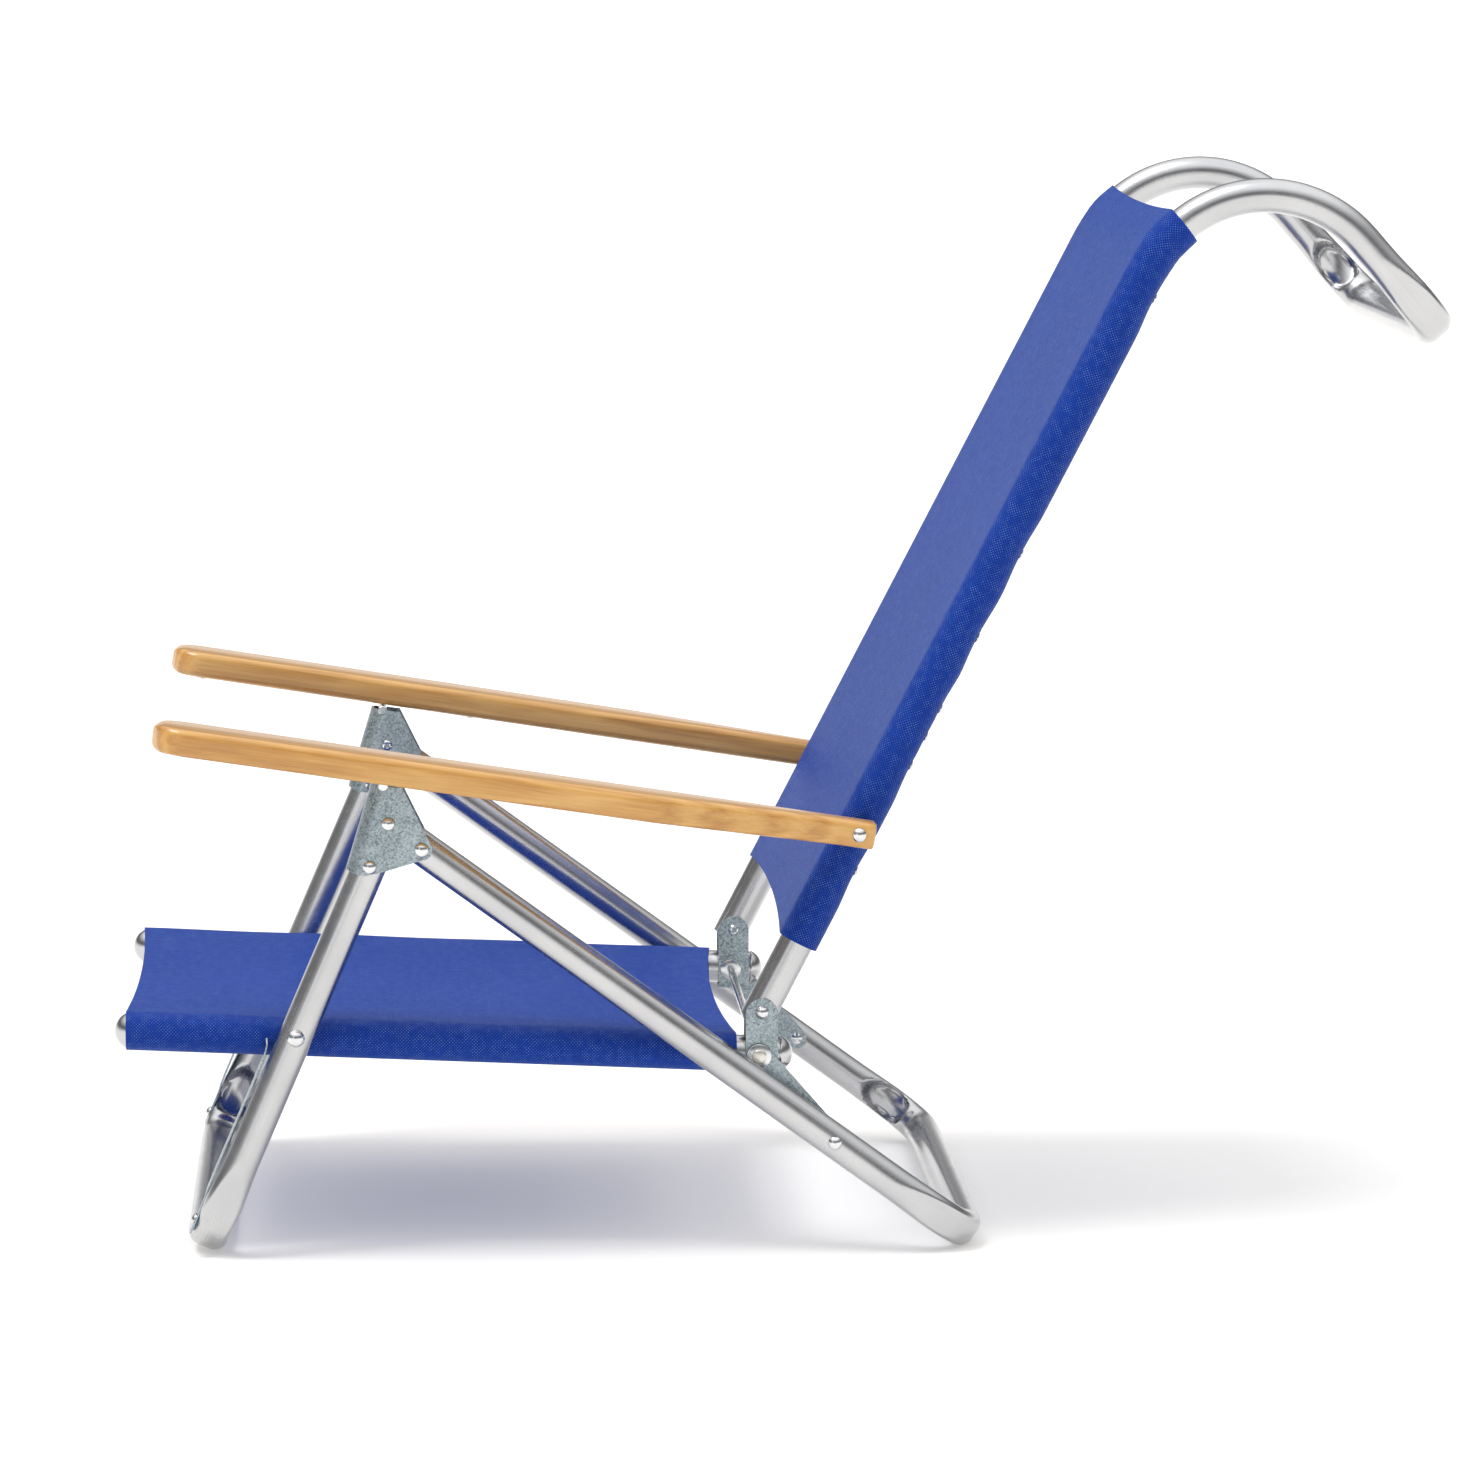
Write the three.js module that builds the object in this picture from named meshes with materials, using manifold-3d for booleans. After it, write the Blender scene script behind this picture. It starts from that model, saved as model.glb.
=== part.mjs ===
// A low folding beach chair: aluminium tube frame, fabric sling seat and back, varnished wood arms.
// Millimetres, +Z up. The sitter faces -Y, and +X is the sitter's left. The origin is at floor level,
// in the middle of the chair's length and width.
//
// Each side is a linkage drawn in the YZ plane: the front leg turns on the seat rail, the rear leg
// turns on a bracket at the top of the front leg, and a short link ties the rear leg to the rear axle.

import * as THREE from 'three';
import { mergeVertices } from 'three/addons/utils/BufferGeometryUtils.js';
import Module from 'manifold-3d';

const wasm = await Module();
wasm.setup();

// ---------------------------------------------------------------- driving dimensions

const TUBE_RADIUS = 12.7;
const TUBE_WALL = 1.25;
const TUBE_SIDES = 16;
const GAP = 0.3;

const RAIL_X = 210;
const LEG_X = 240;
const BEND_RADIUS = 38;
const BEND_STEPS = 5;

const LEG_PIVOT = { y: -360.9, z: 165.5 };
const REAR_AXLE = { y: -20.3, z: 145.5 };
const BRACKET_PIVOT = { y: -268.4, z: 304.2 };
const BACK_PIVOT = { y: -18, z: 177.5 };

const FRONT_LEG_ANGLE = 66.6;
const FRONT_LEG_ABOVE_PIVOT = 180;
const REAR_LEG_ANGLE = -36;
const REAR_LEG_ABOVE_PIVOT = 8;
const LINK_PIVOT_FROM_BRACKET = 374;
const FOOT_HEIGHT = 12.2;

const RAIL_TILT = -2.5;
const RAIL_FRONT_Y = -484.4;
const RAIL_REAR_Y = -5;

const BACK_ANGLE = 62.6;
const BACK_BELOW_PIVOT = 8;
const BACK_STRAIGHT = 617.6;
const HOOK_RADIUS = 96;
const HOOK_SWEEP = 111.5;
const HOOK_STEPS = 10;
const HOOK_TAIL = 87;

const SLING_THICKNESS = 2.4;
const SLING_HALF_WIDTH = 212;
const BACK_SLING_START = 56.7;
const BACK_SLING_WRAP = 24;

const ARM_PIVOT_ALONG_BACK = 152;
const ARM_TILT = 8.65;
const ARM_THICKNESS = 20;
const ARM_INNER_X = 226;

const PLATE = 1.5;
const HINGE_PLATE = 1.8;
const LINK_PLATE = 1.9;
const RIVET_RADIUS = 2.5;
const RIVET_HEAD = 5;
const HOLE_CLEARANCE = 0.3;

// ---------------------------------------------------------------- materials

function material(color, roughness, metalness) {
  return new THREE.MeshStandardMaterial({ color, roughness, metalness });
}
const aluminium = () => material(0xc9cbce, 0.28, 1);
const zinc = () => material(0x9fa9ad, 0.38, 1);
const steel = () => material(0xb9bdc0, 0.3, 1);
const wood = () => material(0xc58f45, 0.35, 0);
const fabric = () => material(0x27409c, 0.85, 0);

// ---------------------------------------------------------------- helpers

const radians = (degrees) => degrees * Math.PI / 180;

// A point reached by going a distance from another one, at an angle in the side plane.
function along(point, angle, distance) {
  return {
    y: point.y + distance * Math.cos(radians(angle)),
    z: point.z + distance * Math.sin(radians(angle)),
  };
}

const railHeight = (y) => REAR_AXLE.z + (y - REAR_AXLE.y) * Math.tan(radians(RAIL_TILT));

function toManifold(geometry) {
  const bare = geometry.clone();
  bare.deleteAttribute('normal');
  bare.deleteAttribute('uv');
  const merged = mergeVertices(bare, 1e-4);
  const mesh = new wasm.Mesh({
    numProp: 3,
    vertProperties: new Float32Array(merged.attributes.position.array),
    triVerts: new Uint32Array(merged.index.array),
  });
  mesh.merge();
  return new wasm.Manifold(mesh);
}

function fromManifold(solid) {
  const mesh = solid.getMesh();
  const geometry = new THREE.BufferGeometry();
  geometry.setAttribute('position', new THREE.BufferAttribute(new Float32Array(mesh.vertProperties), 3));
  geometry.setIndex(Array.from(mesh.triVerts));
  geometry.computeVertexNormals();
  return geometry;
}

function subtract(geometry, ...tools) {
  let solid = toManifold(geometry);
  for (const tool of tools) solid = solid.subtract(toManifold(tool));
  return fromManifold(solid);
}

function intersect(geometry, tool) {
  return fromManifold(toManifold(geometry).intersect(toManifold(tool)));
}

// Turns a shape drawn in (y, z) and extruded along its own z into one that is extruded along X.
const SIDE_TO_WORLD = new THREE.Matrix4().makeBasis(
  new THREE.Vector3(0, 1, 0),
  new THREE.Vector3(0, 0, 1),
  new THREE.Vector3(1, 0, 0),
);

function sidePlate(shape, x, thickness, curveSegments = 6) {
  const geometry = new THREE.ExtrudeGeometry(shape, { depth: thickness, bevelEnabled: false, curveSegments });
  geometry.applyMatrix4(SIDE_TO_WORLD);
  return geometry.translate(x, 0, 0);
}

// A cylinder along X between two x values.
function crossPin(point, radius, fromX, toX, sides = 12) {
  const geometry = new THREE.CylinderGeometry(radius, radius, toX - fromX, sides);
  geometry.rotateZ(-Math.PI / 2);
  return geometry.translate((fromX + toX) / 2, point.y, point.z);
}

function box(fromX, toX, fromY, toY, fromZ, toZ) {
  const geometry = new THREE.BoxGeometry(toX - fromX, toY - fromY, toZ - fromZ);
  return geometry.translate((fromX + toX) / 2, (fromY + toY) / 2, (fromZ + toZ) / 2);
}

function polygon(points) {
  return new THREE.Shape(points.map(([y, z]) => new THREE.Vector2(y, z)));
}

// A solid of revolution about X, from [x, radius] points, that starts and ends on the axis.
function turned(profile, centre, sides = 12) {
  const points = profile.map(([x, radius]) => new THREE.Vector2(radius, x));
  const geometry = new THREE.LatheGeometry(points, sides);
  geometry.rotateZ(-Math.PI / 2);
  return geometry.translate(0, centre.y, centre.z);
}

// A rivet along X: a domed head outside, a shank, and a small closed head inside.
function rivet(point, innerX, outerX, { radius = RIVET_RADIUS, head = RIVET_HEAD, innerHead = 4 } = {}) {
  return turned([
    [innerX - 1.4, 0],
    [innerX - 1.2, innerHead * 0.7],
    [innerX, innerHead],
    [innerX, radius],
    [outerX, radius],
    [outerX, head],
    [outerX + 1.6, head * 0.75],
    [outerX + 2.6, 0],
  ], point);
}

// A path that a tube follows through chosen points, each with its own direction.
class StationCurve extends THREE.Curve {
  constructor(stations) {
    super();
    this.stations = stations;
  }
  at(u) {
    return this.stations[Math.round(u * (this.stations.length - 1))];
  }
  getPoint(u) {
    return this.at(u).point.clone();
  }
  getPointAt(u) {
    return this.at(u).point.clone();
  }
  getTangentAt(u) {
    return this.at(u).tangent.clone();
  }
}

function ringShape(radius, wall, sides) {
  const outline = (r) => Array.from({ length: sides }, (_, i) => {
    const angle = (i + 0.5) * 2 * Math.PI / sides;
    return new THREE.Vector2(r * Math.cos(angle), r * Math.sin(angle));
  });
  const shape = new THREE.Shape(outline(radius));
  shape.holes.push(new THREE.Path(outline(radius - wall).reverse()));
  return shape;
}

function tubeAlong(stations, radius = TUBE_RADIUS, wall = TUBE_WALL) {
  return new THREE.ExtrudeGeometry(ringShape(radius, wall, TUBE_SIDES), {
    steps: stations.length - 1,
    extrudePath: new StationCurve(stations),
    bevelEnabled: false,
  });
}

const sidePoint = (x, point) => new THREE.Vector3(x, point.y, point.z);
const sideDirection = (angle) => new THREE.Vector3(0, Math.cos(radians(angle)), Math.sin(radians(angle)));

// The stations of a U frame: down one side through the given side stations, round a bend,
// along the crossbar and back up the other side. The crossbar lies across X at the last point.
function uFrameStations(x, sideStations, endPoint, endAngle) {
  const stations = sideStations.map(({ point, angle }) => ({
    point: sidePoint(x, point),
    tangent: sideDirection(angle),
  }));
  const out = sideDirection(endAngle);
  const centre = sidePoint(x - BEND_RADIUS, endPoint).addScaledVector(out, -BEND_RADIUS);
  for (let i = 0; i <= BEND_STEPS; i++) {
    const turn = (i / BEND_STEPS) * Math.PI / 2;
    const point = centre.clone().addScaledVector(out, BEND_RADIUS * Math.sin(turn));
    point.x += BEND_RADIUS * Math.cos(turn);
    const tangent = out.clone().multiplyScalar(Math.cos(turn));
    tangent.x = -Math.sin(turn);
    stations.push({ point, tangent });
  }
  const otherSide = stations.slice().reverse().map(({ point, tangent }) => ({
    point: new THREE.Vector3(-point.x, point.y, point.z),
    tangent: new THREE.Vector3(tangent.x, -tangent.y, -tangent.z),
  }));
  return stations.concat(otherSide);
}

const chair = new THREE.Group();

function add(name, geometry, finish) {
  const mesh = new THREE.Mesh(geometry, finish);
  mesh.name = name;
  chair.add(mesh);
}

// Makes the piece for the sitter's left (+X) and its mirror image for the right.
function addPair(name, geometry, finish) {
  add(`${name}_left`, geometry, finish());
  const mirrored = new THREE.Mesh(geometry, finish());
  mirrored.name = `${name}_right`;
  mirrored.scale.x = -1;
  chair.add(mirrored);
}

const bothSides = (point, radius) => crossPin(point, radius, -LEG_X - 40, LEG_X + 40);
const RIVET_HOLE = RIVET_RADIUS + HOLE_CLEARANCE;
const FLOOR_TRIM = box(-400, 400, -600, 600, -60, 0);

// ---------------------------------------------------------------- points on the side linkage

const frontLegFoot = along(LEG_PIVOT, FRONT_LEG_ANGLE,
  -(LEG_PIVOT.z - FOOT_HEIGHT) / Math.sin(radians(FRONT_LEG_ANGLE)));
const rearLegFoot = along(BRACKET_PIVOT, REAR_LEG_ANGLE,
  (BRACKET_PIVOT.z - FOOT_HEIGHT) / Math.sin(radians(-REAR_LEG_ANGLE)));
const linkPivot = along(BRACKET_PIVOT, REAR_LEG_ANGLE, LINK_PIVOT_FROM_BRACKET);
const bracketRivetTop = along(LEG_PIVOT, FRONT_LEG_ANGLE, 172);
const bracketRivetBottom = along(LEG_PIVOT, FRONT_LEG_ANGLE, 137.5);
const armPivot = along(BACK_PIVOT, BACK_ANGLE, ARM_PIVOT_ALONG_BACK);

// ---------------------------------------------------------------- seat

const AXLE_RADIUS = 3;

function seatRail() {
  const end = (y) => ({
    point: new THREE.Vector3(RAIL_X, y, railHeight(y)),
    tangent: sideDirection(RAIL_TILT),
  });
  return subtract(
    tubeAlong([end(RAIL_FRONT_Y), end(RAIL_REAR_Y)]),
    bothSides(LEG_PIVOT, RIVET_HOLE),
    bothSides(REAR_AXLE, AXLE_RADIUS + HOLE_CLEARANCE),
  );
}

// A domed plug pushed into a tube's end; its stub lies inside the tube.
function railPlug(y, outward) {
  const rim = TUBE_RADIUS + 0.4;
  const stub = TUBE_RADIUS - TUBE_WALL - GAP;
  const profile = [[-12, 0], [-12, stub], [GAP, stub], [GAP, rim]];
  for (let i = 1; i <= 5; i++) {
    const turn = (i / 5) * Math.PI / 2;
    profile.push([GAP + 1 + 8 * Math.sin(turn), rim * Math.cos(turn)]);
  }
  const points = profile.map(([x, radius]) => new THREE.Vector2(Math.max(radius, 0), x));
  points[points.length - 1].x = 0;
  const geometry = new THREE.LatheGeometry(points, TUBE_SIDES);
  if (outward < 0) geometry.rotateX(Math.PI);
  geometry.rotateX(radians(RAIL_TILT));
  return geometry.translate(RAIL_X, y, railHeight(y));
}

// A U stirrup that cradles the rail and holds the foot of the back tube between its ears.
function hingeStirrup() {
  const halfInside = TUBE_RADIUS + GAP;
  const halfOutside = halfInside + HINGE_PLATE;
  const [front, rear] = [-30, -6];
  const bottom = railHeight(REAR_AXLE.y) - TUBE_RADIUS - 3.2;
  const top = 176;
  const outline = new THREE.Shape();
  outline.moveTo(front, bottom);
  outline.lineTo(rear, bottom);
  outline.lineTo(rear, top);
  outline.absarc((front + rear) / 2, top, (rear - front) / 2, 0, Math.PI, false);
  outline.lineTo(front, bottom);
  const block = sidePlate(outline, RAIL_X - halfOutside, halfOutside * 2);
  const slot = box(RAIL_X - halfInside, RAIL_X + halfInside, front - 5, rear + 5, bottom + 1.9, 220);
  return subtract(block, slot, bothSides(REAR_AXLE, AXLE_RADIUS + HOLE_CLEARANCE),
    bothSides(BACK_PIVOT, RIVET_HOLE));
}

function washer(x, thickness, radius) {
  return subtract(
    crossPin(REAR_AXLE, radius, x, x + thickness, 16),
    bothSides(REAR_AXLE, AXLE_RADIUS + HOLE_CLEARANCE),
  );
}

function axleCap(x) {
  return subtract(
    crossPin(REAR_AXLE, 5.4, x, x + 3.2, 12),
    crossPin(REAR_AXLE, AXLE_RADIUS + HOLE_CLEARANCE, x - 1, x + 2.2, 12),
  );
}

function seatSling() {
  const above = TUBE_RADIUS + GAP;
  const edge = (y, lift) => [y, railHeight(y) + lift];
  const [front, rear] = [RAIL_FRONT_Y + 2, -36];
  const outline = polygon([
    edge(front, above),
    edge(rear, above),
    edge(rear, above + SLING_THICKNESS),
    edge(front, above + SLING_THICKNESS),
  ]);
  return sidePlate(outline, -SLING_HALF_WIDTH, 2 * SLING_HALF_WIDTH);
}

const RAIL_FACE = RAIL_X + TUBE_RADIUS;
const LEG_INNER_FACE = LEG_X - TUBE_RADIUS;
const LEG_OUTER_FACE = LEG_X + TUBE_RADIUS;
const STIRRUP_FACE = RAIL_X + TUBE_RADIUS + GAP + HINGE_PLATE;
const LINK_X = STIRRUP_FACE + GAP;

function legSpacer() {
  return subtract(
    crossPin(LEG_PIVOT, 6, RAIL_FACE + GAP, LEG_INNER_FACE - GAP, 12),
    bothSides(LEG_PIVOT, RIVET_HOLE),
  );
}

addPair('seat_rail', seatRail(), aluminium);
addPair('rail_plug_front', railPlug(RAIL_FRONT_Y, -1), aluminium);
addPair('rail_plug_rear', railPlug(RAIL_REAR_Y, 1), aluminium);
add('seat_sling', seatSling(), fabric());
addPair('back_hinge_stirrup', hingeStirrup(), zinc);
add('rear_axle_rod', crossPin(REAR_AXLE, AXLE_RADIUS, -230.6, 230.6, 12), steel());
addPair('axle_washer_inner', washer(RAIL_X - STIRRUP_FACE + RAIL_X - GAP - 1.2, 1.2, 8), zinc);
addPair('axle_washer_outer', washer(LINK_X + LINK_PLATE + GAP, 1.2, 9), zinc);
addPair('axle_cap', axleCap(LINK_X + LINK_PLATE + 2 * GAP + 1.2), steel);
addPair('leg_pivot_rivet',
  rivet(LEG_PIVOT, RAIL_X - TUBE_RADIUS - GAP, LEG_OUTER_FACE + GAP, { head: 6.4 }), steel);
addPair('leg_pivot_spacer', legSpacer(), zinc);

// ---------------------------------------------------------------- front legs

function frontLegFrame() {
  const top = along(LEG_PIVOT, FRONT_LEG_ANGLE, FRONT_LEG_ABOVE_PIVOT);
  const down = FRONT_LEG_ANGLE - 180;
  const stations = uFrameStations(LEG_X, [{ point: top, angle: down }], frontLegFoot, down);
  return subtract(
    tubeAlong(stations),
    bothSides(LEG_PIVOT, RIVET_HOLE),
    bothSides(bracketRivetTop, RIVET_HOLE),
    bothSides(bracketRivetBottom, RIVET_HOLE),
    strapScrewHole(-1),
    strapScrewHole(1),
    FLOOR_TRIM,
  );
}

// Places a shape drawn with its own x down the front leg from the pivot, and its own y out of the
// leg's front, in world coordinates.
const LEG_DOWN = sideDirection(FRONT_LEG_ANGLE - 180);
const LEG_FRONT = sideDirection(FRONT_LEG_ANGLE + 90);
const STRAP_TO_WORLD = new THREE.Matrix4()
  .makeBasis(LEG_DOWN, LEG_FRONT, LEG_DOWN.clone().cross(LEG_FRONT))
  .setPosition(sidePoint(0, LEG_PIVOT));

const STRAP_X = 233;
const STRAP_WIDTH = 12;
const STRAP_SCREW = 156;

function strapScrewHole(side) {
  const geometry = new THREE.CylinderGeometry(2.3, 2.3, 30, 10);
  geometry.translate(STRAP_SCREW, 12, 0);
  geometry.applyMatrix4(STRAP_TO_WORLD);
  return geometry.translate(side * (STRAP_X - 2), 0, 0);
}

// A flat spring strap along the front of the leg, stepped down to the tube where it is screwed on.
function springStrap() {
  const [high, low, thick] = [14.6, 13.2, 1.6];
  const outline = polygon([
    [12, high + 1.6],
    [22, high],
    [132, high],
    [139, low],
    [165, low],
    [165, low + thick],
    [140, low + thick],
    [133, high + thick],
    [22, high + thick],
    [12, high + 1.6 + thick],
  ]);
  const geometry = new THREE.ExtrudeGeometry(outline, { depth: STRAP_WIDTH, bevelEnabled: false });
  const across = STRAP_X - STRAP_WIDTH / 2;
  geometry.applyMatrix4(STRAP_TO_WORLD);
  const outwards = LEG_DOWN.clone().cross(LEG_FRONT).x;
  geometry.translate(outwards > 0 ? across : across + STRAP_WIDTH, 0, 0);
  return subtract(geometry, strapScrewHole(1));
}

function strapScrew() {
  const under = 13.2 + 1.6 + GAP;
  const profile = [[1, 0], [1, 2], [under, 2], [under, 4.6], [under + 1.6, 3.8], [under + 2.4, 0]];
  const geometry = new THREE.LatheGeometry(profile.map(([y, r]) => new THREE.Vector2(r, y)), 10);
  geometry.translate(STRAP_SCREW, 0, 0);
  geometry.applyMatrix4(STRAP_TO_WORLD);
  return geometry.translate(STRAP_X - 2, 0, 0);
}

const ARM_ANGLE = 180 - ARM_TILT;
const BRACKET_PIN_ALONG_ARM = 350;
const BRACKET_PIN_BELOW_ARM = 14;
const BRACKET_PIN_RADIUS = 3.5;
const bracketPin = along(along(armPivot, ARM_ANGLE, BRACKET_PIN_ALONG_ARM), ARM_ANGLE + 90,
  BRACKET_PIN_BELOW_ARM);

// A sheet folded round the front of the leg into two cheeks. It holds both leg tops, and the arm
// rests on the pin across its open top.
function legBracket() {
  const inside = TUBE_RADIUS + GAP;
  const outside = inside + PLATE;
  const foldAngle = 73.4;
  const foldLow = { y: -323.6, z: 290 };
  const top = bracketPin.z + 0.4;
  const foldTop = along(foldLow, foldAngle, (top - foldLow.z) / Math.sin(radians(foldAngle)));
  const slope = Math.tan(radians(-ARM_TILT));
  const outline = new THREE.Shape();
  outline.moveTo(foldLow.y, foldLow.z);
  outline.lineTo(-317.8, 286.4);
  outline.lineTo(-309, 285.4);
  outline.lineTo(-296, 288.3);
  outline.lineTo(-267, 296.8);
  outline.absarc(BRACKET_PIVOT.y, BRACKET_PIVOT.z, 7.8, radians(-80), radians(25), false);
  outline.lineTo(-283.4, 352);
  outline.lineTo(-284.6, top + slope * (-284.6 - bracketPin.y));
  outline.lineTo(foldTop.y, top + slope * (foldTop.y - bracketPin.y));
  outline.lineTo(foldLow.y, foldLow.z);

  const channel = new THREE.Shape();
  channel.absarc(0, 0, outside, Math.PI / 2, 3 * Math.PI / 2, false);
  channel.lineTo(90, -outside);
  channel.lineTo(90, -inside);
  channel.lineTo(0, -inside);
  channel.absarc(0, 0, inside, 3 * Math.PI / 2, Math.PI / 2, true);
  channel.lineTo(90, inside);
  channel.lineTo(90, outside);
  const sleeve = new THREE.ExtrudeGeometry(channel, { depth: 120, bevelEnabled: false, curveSegments: 12 });
  const foldUp = sideDirection(foldAngle);
  const rearward = sideDirection(foldAngle - 90);
  sleeve.applyMatrix4(new THREE.Matrix4().makeBasis(rearward, foldUp.clone().cross(rearward), foldUp));
  const start = along(along(foldLow, foldAngle, -20), foldAngle - 90, outside);
  sleeve.translate(LEG_X, start.y, start.z);

  const cheeks = intersect(sleeve, sidePlate(outline, LEG_X - outside - 1, 2 * outside + 2));
  return subtract(cheeks,
    bothSides(bracketRivetTop, RIVET_HOLE),
    bothSides(bracketRivetBottom, RIVET_HOLE),
    bothSides(BRACKET_PIVOT, RIVET_HOLE),
    bothSides(bracketPin, BRACKET_PIN_RADIUS + HOLE_CLEARANCE));
}

const CHEEK_OUTER = LEG_X + TUBE_RADIUS + GAP + PLATE + GAP;
const CHEEK_INNER = 2 * LEG_X - CHEEK_OUTER;

add('front_leg_frame', frontLegFrame(), aluminium());
addPair('leg_bracket', legBracket(), zinc);
addPair('bracket_rivet_top', rivet(bracketRivetTop, CHEEK_INNER, CHEEK_OUTER), steel);
addPair('bracket_rivet_bottom', rivet(bracketRivetBottom, CHEEK_INNER, CHEEK_OUTER), steel);
addPair('rear_leg_pivot_rivet', rivet(BRACKET_PIVOT, CHEEK_INNER, CHEEK_OUTER), steel);
addPair('arm_rest_pin', crossPin(bracketPin, BRACKET_PIN_RADIUS, CHEEK_INNER, CHEEK_OUTER, 12), steel);
addPair('spring_strap', springStrap(), zinc);
addPair('spring_strap_screw', strapScrew(), zinc);

// ---------------------------------------------------------------- rear legs and links

function rearLegFrame() {
  const top = along(BRACKET_PIVOT, REAR_LEG_ANGLE, -REAR_LEG_ABOVE_PIVOT);
  const stations = uFrameStations(LEG_X, [{ point: top, angle: REAR_LEG_ANGLE }], rearLegFoot, REAR_LEG_ANGLE);
  return subtract(
    tubeAlong(stations),
    bothSides(BRACKET_PIVOT, RIVET_HOLE),
    bothSides(linkPivot, RIVET_HOLE),
    FLOOR_TRIM,
  );
}

// The rivet's outer half: it stays with the leg.
function linkRivet() {
  return turned([
    [LEG_INNER_FACE + 0.6, 0],
    [LEG_INNER_FACE + 0.6, RIVET_RADIUS],
    [LEG_OUTER_FACE + GAP, RIVET_RADIUS],
    [LEG_OUTER_FACE + GAP, RIVET_HEAD],
    [LEG_OUTER_FACE + GAP + 1.6, RIVET_HEAD * 0.75],
    [LEG_OUTER_FACE + GAP + 2.6, 0],
  ], linkPivot);
}

// The rivet's inner half: a flat head and a stub that ride in the link.
function linkRivetHead() {
  return turned([
    [LINK_X - GAP - 1.2, 0],
    [LINK_X - GAP - 1.2, 3.6],
    [LINK_X - GAP, 4.4],
    [LINK_X - GAP, RIVET_RADIUS],
    [LINK_X + LINK_PLATE, RIVET_RADIUS],
    [LINK_X + LINK_PLATE, 0],
  ], linkPivot);
}

function rearLink() {
  const length = Math.hypot(linkPivot.y - REAR_AXLE.y, linkPivot.z - REAR_AXLE.z);
  const angle = Math.atan2(linkPivot.z - REAR_AXLE.z, linkPivot.y - REAR_AXLE.y);
  const outline = new THREE.Shape();
  outline.absarc(0, 0, 9, Math.PI / 2, 3 * Math.PI / 2, false);
  outline.absarc(length, 0, 8, -Math.PI / 2, Math.PI / 2, false);
  const geometry = new THREE.ExtrudeGeometry(outline, { depth: LINK_PLATE, bevelEnabled: false, curveSegments: 8 });
  geometry.rotateZ(angle);
  geometry.applyMatrix4(SIDE_TO_WORLD);
  geometry.translate(LINK_X, REAR_AXLE.y, REAR_AXLE.z);
  return subtract(geometry, bothSides(REAR_AXLE, AXLE_RADIUS + HOLE_CLEARANCE),
    bothSides(linkPivot, RIVET_HOLE));
}

add('rear_leg_frame', rearLegFrame(), aluminium());
addPair('link_rivet', linkRivet(), steel);
addPair('rear_link', rearLink(), zinc);
addPair('link_rivet_head', linkRivetHead(), steel);

// ---------------------------------------------------------------- back

const backFoot = along(BACK_PIVOT, BACK_ANGLE, -BACK_BELOW_PIVOT);
const hookStart = along(BACK_PIVOT, BACK_ANGLE, BACK_STRAIGHT);
const hookCentre = along(hookStart, BACK_ANGLE - 90, HOOK_RADIUS);

function hookStations() {
  const stations = [];
  for (let i = 0; i <= HOOK_STEPS; i++) {
    const turn = HOOK_SWEEP * i / HOOK_STEPS;
    stations.push({
      point: along(hookCentre, BACK_ANGLE + 90 - turn, HOOK_RADIUS),
      angle: BACK_ANGLE - turn,
    });
  }
  return stations;
}

function backFrame() {
  const side = [{ point: backFoot, angle: BACK_ANGLE }, ...hookStations()];
  const endAngle = BACK_ANGLE - HOOK_SWEEP;
  const crossbar = along(side[side.length - 1].point, endAngle, HOOK_TAIL);
  return subtract(
    tubeAlong(uFrameStations(RAIL_X, side, crossbar, endAngle)),
    bothSides(BACK_PIVOT, RIVET_HOLE),
    bothSides(armPivot, ARM_BOLT_RADIUS + HOLE_CLEARANCE),
  );
}

// The sling lies on the front of the two side tubes and follows them a little way into the hook.
function backSling() {
  const near = TUBE_RADIUS + GAP;
  const far = near + SLING_THICKNESS;
  const start = along(BACK_PIVOT, BACK_ANGLE, BACK_SLING_START);
  const outline = new THREE.Shape();
  const startNear = along(start, BACK_ANGLE + 90, near);
  outline.moveTo(startNear.y, startNear.z);
  const wrapSteps = 4;
  const corner = (radius, step) => {
    const point = along(hookCentre, BACK_ANGLE + 90 - BACK_SLING_WRAP * step / wrapSteps, radius);
    outline.lineTo(point.y, point.z);
  };
  for (let step = 0; step <= wrapSteps; step++) corner(HOOK_RADIUS + near, step);
  for (let step = wrapSteps; step >= 0; step--) corner(HOOK_RADIUS + far, step);
  const startFar = along(start, BACK_ANGLE + 90, far);
  outline.lineTo(startFar.y, startFar.z);
  return sidePlate(outline, -SLING_HALF_WIDTH, 2 * SLING_HALF_WIDTH);
}

const ARM_BOLT_RADIUS = 3;

add('back_frame', backFrame(), aluminium());
add('back_sling', backSling(), fabric());
addPair('back_pivot_rivet',
  rivet(BACK_PIVOT, 2 * RAIL_X - STIRRUP_FACE - GAP, STIRRUP_FACE + GAP, { innerHead: 4.4 }), steel);

// ---------------------------------------------------------------- arms

// The arm is drawn lying flat: its own x runs from the bolt to the front, its own y across.
const armAcross = new THREE.Vector3(1, 0, 0);
const armForward = sideDirection(ARM_ANGLE);
const ARM_TO_WORLD = new THREE.Matrix4()
  .makeBasis(armForward, armAcross, armForward.clone().cross(armAcross))
  .setPosition(sidePoint(0, armPivot));

const TRACK = { from: 268, to: 508, x: 248, width: 10, depth: 4 };
const TRACK_SCREWS = [280, 496];
const NOTCH_PITCH = 23.3;
const NOTCH_COUNT = 4;

const armUnder = -ARM_THICKNESS / 2;

function armScrewHole(at) {
  const depth = 16;
  const geometry = new THREE.CylinderGeometry(2.2, 2.2, depth, 10);
  geometry.rotateX(Math.PI / 2);
  return geometry.translate(at, TRACK.x, armUnder - 2 + depth / 2);
}

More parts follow.
